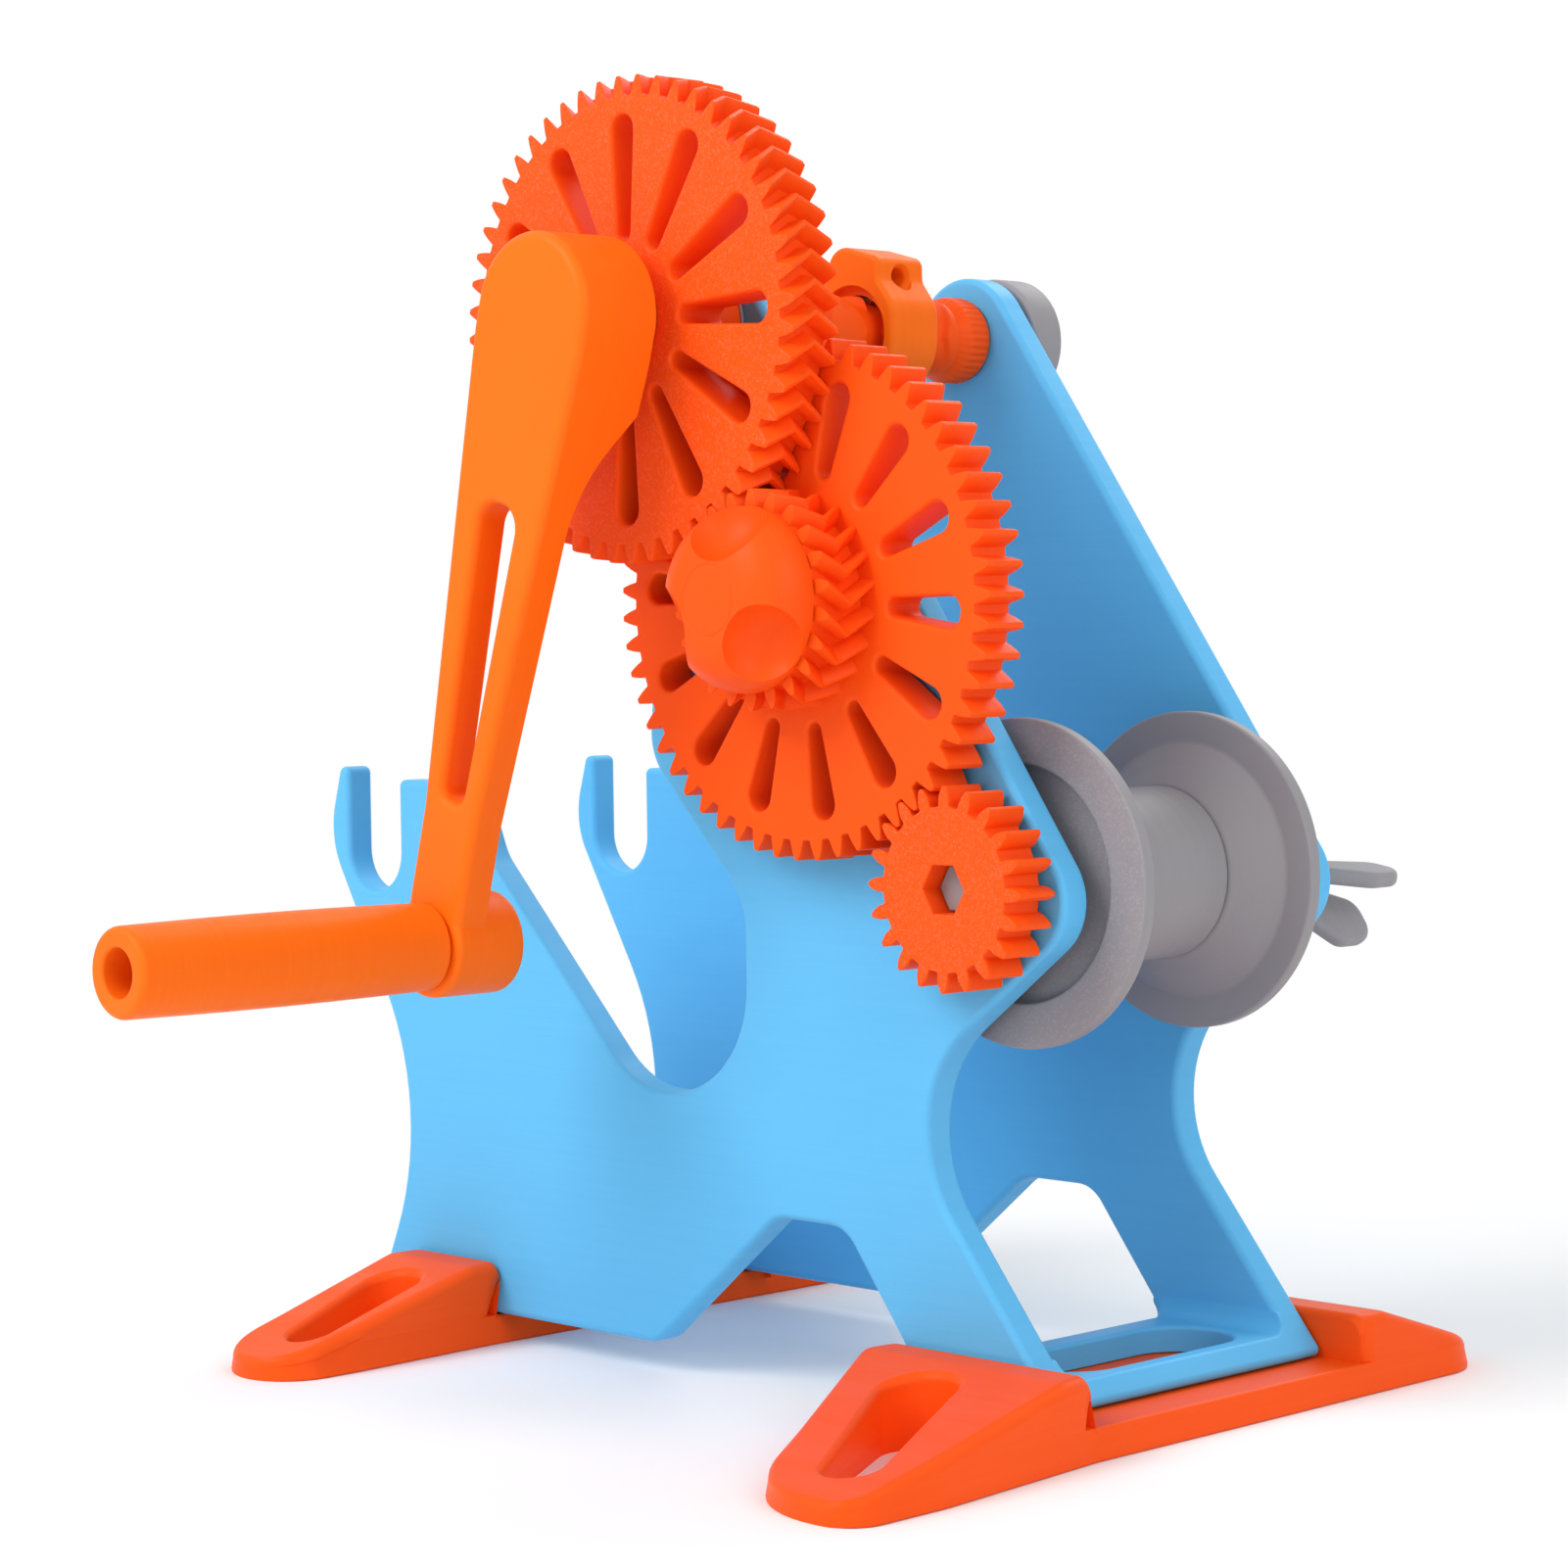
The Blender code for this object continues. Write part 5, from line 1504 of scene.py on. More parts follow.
@dataclass
class GearTrain:
    """Drive gear on the crank, compound gear on its stud and the small gear on the spool axle."""

    layout: Layout
    helix: float = math.radians(30)
    tooth_edge: float = 0.00035
    slot_edge: float = 0.0011
    slot_margin: float = 0.0042
    slot_wide: float = 0.0034
    slot_narrow: float = 0.0020
    drive_slots: int = 12
    drive_slot_inner: float = 0.0175
    wheel_slots: int = 14
    wheel_slot_inner: float = 0.0272
    wheel_slot_first: float = math.radians(-4)
    hex_flats: float = 0.0098
    hex_edge: float = 0.0004
    chevron_bands: int = 5

    @property
    def twist(self) -> float:
        """Angle by which the pinion's teeth are turned at the middle of their width."""
        lay = self.layout
        return lay.herringbone_width / 2 * math.tan(self.helix) / (lay.gear_module * lay.pinion_teeth / 2)

    def chevron(self, y: float, low: float, high: float) -> float:
        """Share of the full twist at a level of a herringbone gear."""
        return 1.0 - abs(2 * (y - low) / (high - low) - 1.0)

    def chevron_levels(self, low: float, high: float) -> list[float]:
        """Levels between the faces of a herringbone gear."""
        bands = self.chevron_bands * 2
        return [low + (high - low) * k / bands for k in range(1, bands)]

    def drive(self) -> bpy.types.Object:
        """Herringbone gear on the crank shaft.

        Returns:
            The piece.
        """
        lay = self.layout
        low, high = lay.herringbone_front, lay.herringbone_back
        shape = GearShape(lay.crank_axis, lay.drive_teeth,
                          lay.drive_direction + math.pi + math.pi / lay.drive_teeth, lay.gear_module)
        turn = self.twist * lay.pinion_teeth / lay.drive_teeth
        holes = shape.slots(self.drive_slots, self.drive_slot_inner, math.pi / 2, self.slot_narrow,
                            self.slot_wide, self.slot_margin)
        holes.append(circle(lay.crank_axis, lay.shaft_radius + lay.gap, BORE_SIDES))
        slab = Slab(low, high, shape.outline(), holes, (self.tooth_edge, self.tooth_edge),
                    (self.slot_edge, self.slot_edge), 3,
                    lambda y: shape.outline(turn * self.chevron(y, low, high)),
                    self.chevron_levels(low, high))
        return fit(slab.item("drive_wheel"), ORANGE_BED, Body.CRANK, "drive_gear")

    def compound(self) -> bpy.types.Object:
        """Spur wheel and herringbone pinion in one piece.

        Returns:
            The piece.
        """
        lay = self.layout
        wheel = GearShape(lay.stud_axis, lay.wheel_teeth,
                          lay.wheel_direction + math.pi + math.pi / lay.wheel_teeth, lay.gear_module)
        pinion = GearShape(lay.stud_axis, lay.pinion_teeth, lay.drive_direction, lay.gear_module)
        slots = wheel.slots(self.wheel_slots, self.wheel_slot_inner, self.wheel_slot_first,
                            self.slot_narrow, self.slot_wide, self.slot_margin)
        slab = Slab(lay.wheel_front, lay.wheel_back, wheel.outline(), slots,
                    (self.tooth_edge, self.tooth_edge), (self.slot_edge, self.slot_edge), 3)
        draft = MeshDraft()
        rows = [[draft.ring(y, loop) for loop in slab.loops_at(y)] for y in slab.levels()]
        for column in zip(*rows):
            draft.walls(column)
        low, high = lay.herringbone_front, lay.herringbone_back
        bore = circle(lay.stud_axis, lay.stud_radius + lay.gap, BORE_SIDES)
        bore_rows = [draft.ring(low, bore), draft.ring(lay.wheel_back, bore)]
        draft.walls(bore_rows)
        tooth_rows = []
        levels = [low + depth for depth in edge_depths(self.tooth_edge, 3)]
        levels += [y for y in self.chevron_levels(low, high) if y > levels[-1] + STATION_STEP]
        levels.append(lay.wheel_front)
        for y in levels:
            loop = wound(pinion.outline(-self.twist * max(0.0, self.chevron(y, low, high))), True)
            tooth_rows.append(draft.ring(y, inset(loop, edge_inset(y - low, self.tooth_edge))))
        draft.walls(tooth_rows)
        draft.cap([rows[0][0], tooth_rows[-1], *rows[0][1:]])
        draft.cap([rows[-1][0], bore_rows[1], *rows[-1][1:]])
        draft.cap([tooth_rows[0], bore_rows[0]])
        return fit(draft.item("double_wheel"), ORANGE_ACROSS, Body.COMPOUND, "compound_gear")

    def spool(self) -> bpy.types.Object:
        """Small spur gear on the spool axle.

        Returns:
            The piece.
        """
        lay = self.layout
        shape = GearShape(lay.spool_axis, lay.spool_teeth, lay.wheel_direction, lay.gear_module)
        hexagon = circle(lay.spool_axis, self.hex_flats / 2 / math.cos(math.pi / 6) + lay.gap, 6)
        slab = Slab(lay.wheel_front, lay.wheel_back, shape.outline(), [hexagon],
                    (self.tooth_edge, self.tooth_edge), (self.hex_edge, self.hex_edge), 3)
        return fit(slab.item("spool_wheel"), ORANGE_BED, Body.SPOOL, "spool_gear")

    def build(self) -> list[bpy.types.Object]:
        """All gears."""
        return [self.drive(), self.compound(), self.spool()]


@dataclass
class StudAndKnob:
    """Fixed stud of the compound gear and the domed knob with three finger scoops."""

    layout: Layout
    radius: float = 0.0202
    height: float = 0.0125
    dome_radius: float = 0.0098
    scoop_turns: tuple[float, ...] = (math.radians(-38), math.radians(82), math.radians(202))
    scoop_radius: float = 0.0105
    scoop_reach: float = 0.0188
    scoop_drop: float = 0.0012
    scoop_sides: int = 64
    edge: float = 0.0016
    rows: int = 28
    around: int = 144
    mark_radius: float = 0.0076
    mark_width: float = 0.0003
    mark_depth: float = 0.00022
    stud_corner: float = 0.0003

    def knob(self) -> bpy.types.Object:
        """The knob.

        Returns:
            The piece.
        """
        lay = self.layout
        back = lay.herringbone_front - lay.gap
        inner = lay.stud_radius + lay.gap
        shape = [(inner, back), (self.radius - self.edge * 0.3, back),
                 (self.radius - self.edge * 0.06, back - self.edge * 0.10),
                 (self.radius, back - self.edge * 0.3), (self.radius, back - self.edge * 0.9)]
        for row in range(1, self.rows + 1):
            share = row / self.rows
            bulge = math.cos(share * math.pi / 2)
            radius = self.dome_radius + (self.radius - self.dome_radius) * bulge ** 0.8
            drop = math.sin(share * math.pi / 2) ** 1.15
            y = back - self.edge * 0.9 - (self.height - self.edge * 0.9) * (0.35 * share + 0.65 * drop)
            shape.append((radius, y))
        face = shape[-1][1]
        floor = back - self.height * 0.5 - lay.gap
        shape += [(self.mark_radius + self.mark_width, face), (self.mark_radius, face + self.mark_depth),
                  (self.mark_radius - self.mark_width, face), (0, face), (0, floor), (inner, floor)]
        knob = turned("wheel_knob", lay.stud_axis, shape, self.around)
        middle, reach = face + self.scoop_drop, self.scoop_radius
        arc = [k * math.pi / self.rows for k in range(1, self.rows)]
        ball = [(reach * math.sin(turn), middle - reach * math.cos(turn)) for turn in arc]
        ball = [(0, middle - reach), *ball, (0, middle + reach)]
        for turn in self.scoop_turns:
            carve(knob, turned("scoop", polar(lay.stud_axis, self.scoop_reach, turn), ball, self.scoop_sides))
        return fit(knob, ORANGE_ACROSS, Body.KNOB, "gear_knob")

    def build(self) -> list[bpy.types.Object]:
        """Stud and knob.

        Returns:
            The pieces.
        """
        lay = self.layout
        tip = lay.herringbone_front - lay.gap - self.height * 0.5
        seat = lay.near_in + lay.gap
        head = lay.near_in + lay.bush_flange
        wide = lay.stud_radius + lay.bush_wall
        profile = [(0, tip), (lay.stud_radius, tip), (lay.stud_radius, seat), (wide, seat),
                   (wide, head), (0, head)]
        stud = turned("wheel_stud", lay.stud_axis, profile, BORE_SIDES, self.stud_corner)
        return [fit(stud, GREY_ACROSS, Body.FRAME, "gear_stud"), self.knob()]


@dataclass
class Crank:
    """Crank arm with its slot, its turning grip and the pin that holds the grip."""

    layout: Layout
    hub_radius: float = 0.0181
    arm_thickness: float = 0.0082
    end_radius: float = 0.0118
    end_thickness: float = 0.0195
    neck_width: float = 0.0186
    slot_top: float = 0.0125
    slot_end: float = 0.0070
    rim: float = 0.0022
    grip_length: float = 0.083
    grip_radius: float = 0.0100
    grip_belly: float = 0.0104
    grip_bore: float = 0.0054
    pin_radius: float = 0.0034
    pin_head: float = 0.0050
    pin_head_length: float = 0.004
    pin_length: float = 0.052
    washer_radius: float = 0.0064
    washer_length: float = 0.0015
    round_off: float = 0.0016
    arm_edge: float = 0.0010
    arm_edge_angle: float = math.radians(48)
    pin_corner: float = 0.0003

    def place(self, along: float, across: float) -> Place:
        """Place on the arm in X and Z.

        Args:
            along: Distance from the crank axis towards the grip.
            across: Distance from the arm's middle line.

        Returns:
            X and Z.
        """
        c = math.cos(self.layout.crank_lean)
        s = math.sin(self.layout.crank_lean)
        x, z = self.layout.crank_axis
        return (x + along * c - across * s, z + along * s + across * c)

    def outline(self) -> Loop:
        """Outline of the arm in its own directions.

        Returns:
            The loop of (along, across).
        """
        end = self.layout.crank_length
        hub = self.hub_radius
        waist = end - self.end_radius * 2.6
        neck = self.neck_width / 2
        return rounded_outline([
            (-hub, -hub, hub * 0.99), (hub * 0.35, -hub, hub * 0.9), (waist, -neck, neck),
            (end + neck, -neck, neck * 0.99), (end + neck, neck, neck * 0.99), (waist, neck, neck),
            (hub * 0.35, hub, hub * 0.9), (-hub, hub, hub * 0.99)], math.radians(4))

    def side(self) -> Loop:
        """Side view of the arm: thick hub and thin arm.

        Returns:
            The loop of (along, y).
        """
        lay = self.layout
        front = lay.hub_front - lay.overrun
        arm_back = lay.hub_front + self.arm_thickness
        start = -self.hub_radius - lay.overrun
        stop = lay.crank_length + self.end_radius + lay.overrun
        return rounded_outline([
            (start, front, 0), (start, lay.hub_back + lay.overrun, 0),
            (self.hub_radius * 0.85, lay.hub_back + lay.overrun, 0),
            (self.hub_radius * 1.95, arm_back, self.hub_radius * 2.0),
            (stop, arm_back, 0), (stop, front, 0)], math.radians(4))

    def arm(self) -> bpy.types.Object:
        """The arm.

        Returns:
            The piece.
        """
        lay = self.layout
        outer = [self.place(a, b) for a, b in self.outline()]
        start = self.hub_radius * 2.35
        reach = lay.crank_length - self.end_radius * 2.9
        top, low = self.slot_top / 2, self.slot_end / 2
        slot = [self.place(a, b) for a, b in rounded_outline([
            (start, -top, top * 0.84), (start, top, top * 0.84),
            (reach, low, low * 0.84), (reach, -low, low * 0.84)], math.radians(6))]
        slab = Slab(lay.hub_front, lay.hub_back, outer, [slot], (self.rim, 0.0), (self.rim, 0.0), 6)
        arm = slab.item("crank_lever")
        draft = MeshDraft()
        ends = []
        for across in (-self.hub_radius - lay.overrun, self.hub_radius + lay.overrun):
            line = [(self.place(along, across), y) for along, y in self.side()]
            ends.append(draft.row([(x, y, z) for (x, z), y in line]))
        draft.column(ends)
        carve(arm, draft.item("side_cutter"), Work.TRIM)
        end_back = lay.hub_front + self.end_thickness
        boss = [(0, lay.hub_front), (self.end_radius, lay.hub_front),
                (self.end_radius, end_back), (0, end_back)]
        carve(arm, turned("end_boss", lay.handle_axis, softened(boss, self.round_off, 4)), Work.JOIN)
        round_edges(arm, self.arm_edge, self.arm_edge_angle)
        socket = lay.shaft_radius + lay.gap
        mouth = lay.hub_back + lay.overrun
        bore = self.pin_radius + lay.gap
        for name, axis, radius, floor, sides in (
                ("socket_cutter", lay.crank_axis, socket, lay.socket_floor, BORE_SIDES),
                ("pin_cutter", lay.handle_axis, bore, lay.hub_front - lay.overrun, PIN_SIDES)):
            carve(arm, turned(name, axis, [(0, floor), (radius, floor), (radius, mouth), (0, mouth)], sides))
        return fit(arm, AMBER_ACROSS, Body.CRANK, "crank_arm")

    def build(self) -> list[bpy.types.Object]:
        """Arm, grip and pin.

        Returns:
            The pieces.
        """
        lay = self.layout
        base = lay.hub_front - lay.gap
        tip = base - self.grip_length
        seat = base - self.pin_length + self.pin_head_length
        loose = self.pin_radius + lay.gap
        chamfer = self.round_off * 0.5
        grip = [(loose, base), (self.grip_radius - chamfer, base), (self.grip_radius, base - chamfer)]
        for k in range(1, 12):
            share = k / 12
            swell = (self.grip_belly - self.grip_radius) * math.sin(share * math.pi)
            grip.append((self.grip_radius + swell,
                         base - chamfer + (tip + self.round_off - base + chamfer) * share))
        for k in range(7):
            turn = k * math.pi / 12
            grip.append((self.grip_radius - self.round_off * (1 - math.cos(turn)),
                         tip + self.round_off * (1 - math.sin(turn))))
        for k in range(5):
            turn = k * math.pi / 8
            grip.append((self.grip_bore + chamfer * (1 - math.sin(turn)),
                         tip + chamfer * (1 - math.cos(turn))))
        grip += [(self.grip_bore, seat), (loose, seat)]
        under = seat - lay.gap
        washer = lay.hub_front + self.end_thickness + lay.gap
        end = washer + self.washer_length
        head = under - self.pin_head_length
        pin = [(0, head), (self.pin_head, head), (self.pin_head, under), (self.pin_radius, under),
               (self.pin_radius, washer), (self.washer_radius, washer), (self.washer_radius, end), (0, end)]
        return [self.arm(),
                fit(turned("crank_grip", lay.handle_axis, grip), AMBER_ACROSS, Body.HANDLE, "crank_handle"),
                fit(turned("grip_pin", lay.handle_axis, pin, PIN_SIDES, self.pin_corner), AMBER_ACROSS,
                    Body.CRANK, "crank_pin")]


@dataclass
class Traverse:
    """Reversing screw with two crossing grooves, its knurled collar and the knob behind the far plate."""

    layout: Layout
    root_radius: float = 0.0072
    thread_stop: float = 0.0103
    lead: float = 0.0200
    land_share: float = 0.60
    collar_radius: float = 0.0103
    knurls: int = 36
    knurl_depth: float = 0.00035
    knob_radius: float = 0.0155
    knob_length: float = 0.0096
    knob_corner: float = 0.0014
    knob_lid: float = 0.0005
    shaft_chamfer: float = 0.0004
    collar_cone: float = 0.0026
    collar_drop: float = 0.0022
    collar_chamfer: float = 0.0012
    around: int = 120
    rows: int = 220

    def groove(self, angle: float, y: float) -> float:
        """Share of the grooves' full depth at a place on the screw.

        Args:
            angle: Angle round the axis.
            y: Place along it.

        Returns:
            The share.
        """
        depth = 0.0
        for hand in (1, -1):
            phase = (hand * y / self.lead - angle / (2 * math.pi)) % 1.0
            away = abs(phase - 0.5) * 2
            share = min(1.0, max(0.0, (away - self.land_share) / (1 - self.land_share) * 2.2))
            depth = max(depth, share * share * (3 - 2 * share))
        return depth

    def screw(self) -> bpy.types.Object:
        """The screw with its shaft.

        Returns:
            The piece.
        """
        lay = self.layout
        low, high = lay.screw_start, lay.far_in - self.thread_stop
        start = lay.socket_floor + lay.gap
        end = lay.far_out + lay.bush_flange + self.knob_length
        shaft = circle(lay.crank_axis, lay.shaft_radius, self.around)
        draft = MeshDraft()
        nose = circle(lay.crank_axis, lay.shaft_radius - self.shaft_chamfer, self.around)
        rings = [draft.ring(start, nose), draft.ring(start + self.shaft_chamfer, shaft),
                 draft.ring(low, shaft)]
        for row in range(self.rows + 1):
            y = low + (high - low) * row / self.rows
            fade = min(1.0, min(row, self.rows - row) / (self.rows / 13))
            loop = []
            for k in range(self.around):
                angle = 2 * math.pi * k / self.around
                depth = self.groove(angle, y) * fade
                size = lay.screw_radius + (self.root_radius - lay.screw_radius) * depth
                loop.append(polar(lay.crank_axis, size, angle))
            rings.append(draft.ring(y, loop))
        rings += [draft.ring(high, shaft), draft.ring(end, shaft)]
        draft.column(rings)
        return fit(draft.item("reversing_screw"), ORANGE_ACROSS, Body.CRANK, "traverse_screw")

    def collar(self) -> bpy.types.Object:
        """Knurled collar next to the far plate.

        Returns:
            The piece.
        """
        lay = self.layout
        low = lay.far_in - self.thread_stop + lay.gap
        high = lay.far_in - lay.gap
        cone = self.collar_cone
        wide = self.collar_radius
        draft = MeshDraft()
        inner = lay.shaft_radius + lay.gap
        profile = [(inner, low, 0.0), (wide - self.collar_drop, low, 0.0),
                   (wide - self.collar_chamfer * 0.25, low + cone, 0.4), (wide, low + cone * 1.35, 1.0),
                   (wide, high - self.collar_chamfer, 1.0), (wide - self.collar_chamfer * 0.75, high, 0.2),
                   (inner, high, 0.0)]
        count = self.knurls * 6
        rings = []
        for radius, y, share in profile:
            loop = []
            for k in range(count):
                angle = 2 * math.pi * k / count
                wave = 0.5 - 0.5 * math.cos(self.knurls * angle)
                size = radius - self.knurl_depth * share * wave
                loop.append(polar(lay.crank_axis, size, angle))
            rings.append(draft.ring(y, loop))
        draft.walls([*rings, rings[0]])
        return fit(draft.item("knurled_collar"), ORANGE_ACROSS, Body.CRANK, "screw_collar")

    def build(self) -> list[bpy.types.Object]:
        """Screw, collar and knob.

        Returns:
            The pieces.
        """
        lay = self.layout
        inner = lay.shaft_radius + lay.gap
        low = lay.far_out + lay.bush_flange + lay.gap
        high = low + self.knob_length
        end = lay.far_out + lay.bush_flange + self.knob_length
        lid = self.knob_lid
        profile = [(inner, low), (self.knob_radius, low), (self.knob_radius, high + lid), (0, high + lid),
                   (0, end + lay.gap), (inner, end + lay.gap)]
        knob = turned("screw_tail_knob", lay.crank_axis, softened(profile, self.knob_corner, 5), RIM_SIDES)
        return [self.screw(), self.collar(), fit(knob, GREY_ACROSS, Body.CRANK, "screw_end_knob")]


@dataclass
class FilamentGuide:
    """Guide block on the reversing screw, its follower and the cap that holds the follower."""

    layout: Layout
    wall: float = 0.0046
    head_height: float = 0.0215
    front_height: float = 0.0176
    front_reach: float = 0.0092
    corner: float = 0.0026
    eyelet: float = 0.0022
    boss_reach: float = 0.0192
    follower_radius: float = 0.0040
    cap_radius: float = 0.0064
    cap_length: float = 0.0028
    cap_plug: float = 0.0030
    counterbore: float = 0.0115
    counterbore_depth: float = 0.0026
    bore_edge: float = 0.0005
    eyelet_lip: float = 0.0008
    follower_chamfer: float = 0.0004
    cap_round: float = 0.0010
    cap_chamfer: float = 0.0003

    def outline(self) -> Loop:
        """Outline of the block seen along the screw.

        Returns:
            The loop.
        """
        x, z = self.layout.crank_axis
        outer = self.layout.screw_radius + self.layout.gap + self.wall
        boss = self.cap_radius + self.corner * 0.5
        front = x + self.front_reach
        return rounded_outline([
            (x - outer * 0.62, z - outer, outer * 0.6), (x + outer, z - outer, outer * 0.95),
            (x + outer, z + outer * 0.45, outer * 0.5), (front, z + outer * 0.90, self.corner),
            (front, z + self.front_height, self.corner),
            (x - outer * 0.35, z + self.head_height, self.corner * 2),
            (x - outer * 0.85, z + boss, self.corner),
            (x - self.boss_reach, z + boss, self.corner * 0.8),
            (x - self.boss_reach, z - boss, self.corner * 0.8), (x - outer, z - boss, self.corner)])

    def rod(self, name: str, height: float, profile: Sequence[tuple[float, float]],
            count: int = PIN_SIDES) -> bpy.types.Object:
        """Turned piece along X through the middle of the block.

        Args:
            name: Name of the object.
            height: Height of its axis.
            profile: Radius and x of each ring.
            count: Number of sides.

        Returns:
            The object.
        """
        draft = MeshDraft()
        rings = [draft.row([(x, self.layout.guide_middle + radius * math.cos(2 * math.pi * k / count),
                             height + radius * math.sin(2 * math.pi * k / count)) for k in range(count)])
                 for radius, x in profile]
        draft.column(rings)
        return draft.item(name)

    def build(self) -> list[bpy.types.Object]:
        """Block, follower and cap.

        Returns:
            The pieces.
        """
        lay = self.layout
        x, z = lay.crank_axis
        bore = circle(lay.crank_axis, lay.screw_radius + lay.gap, RIM_SIDES)
        block = Slab(lay.guide_start, lay.guide_start + lay.guide_length, self.outline(), [bore],
                     (self.corner * 0.5, self.corner * 0.5), (self.bore_edge, self.bore_edge),
                     4).item("filament_guide")
        low = lay.guide_start - lay.overrun
        sink = lay.guide_start + self.counterbore_depth
        carve(block, turned("counterbore_cutter", lay.crank_axis,
                            [(0, low), (self.counterbore, low), (self.counterbore, sink), (0, sink)],
                            RIM_SIDES))
        reach = x - self.boss_reach - lay.overrun
        front = x + self.front_reach
        eye = z + self.front_height * 0.75
        carve(block, self.rod("eyelet_cutter", eye, [
            (self.eyelet, reach), (self.eyelet, front - self.eyelet_lip * 2),
            (self.eyelet * 1.12, front - self.eyelet_lip),
            (self.eyelet * 1.5, front + self.eyelet_lip * 0.125),
            (self.eyelet * 1.5, front + lay.overrun * 2)]))
        wide = self.follower_radius + lay.gap
        carve(block, self.rod("follower_cutter", z, [(wide, reach), (wide, x)]))
        face = x - self.boss_reach - lay.gap
        plug = face + lay.gap + self.cap_plug
        tip = x - lay.screw_radius - lay.gap
        size = self.follower_radius
        chamfer = self.follower_chamfer
        start = plug + lay.gap
        follower = self.rod("guide_follower", z, [(size - chamfer, start), (size, start + chamfer),
                                                   (size, tip - chamfer), (size - chamfer, tip)])
        outer = face - self.cap_length
        wide, edge = self.cap_radius, self.cap_chamfer
        cap = self.rod("follower_cap", z, [
            (wide - self.cap_round, outer), (wide - edge, outer + edge), (wide, outer + self.cap_round),
            (wide, face - edge), (wide - edge, face), (size, face), (size, plug)], BORE_SIDES)
        return [fit(block, AMBER_ACROSS, Body.GUIDE, "guide_block"),
                fit(follower, AMBER_ALONG, Body.PAWL, "guide_pawl"),
                fit(cap, AMBER_ALONG, Body.GUIDE, "pawl_cap")]


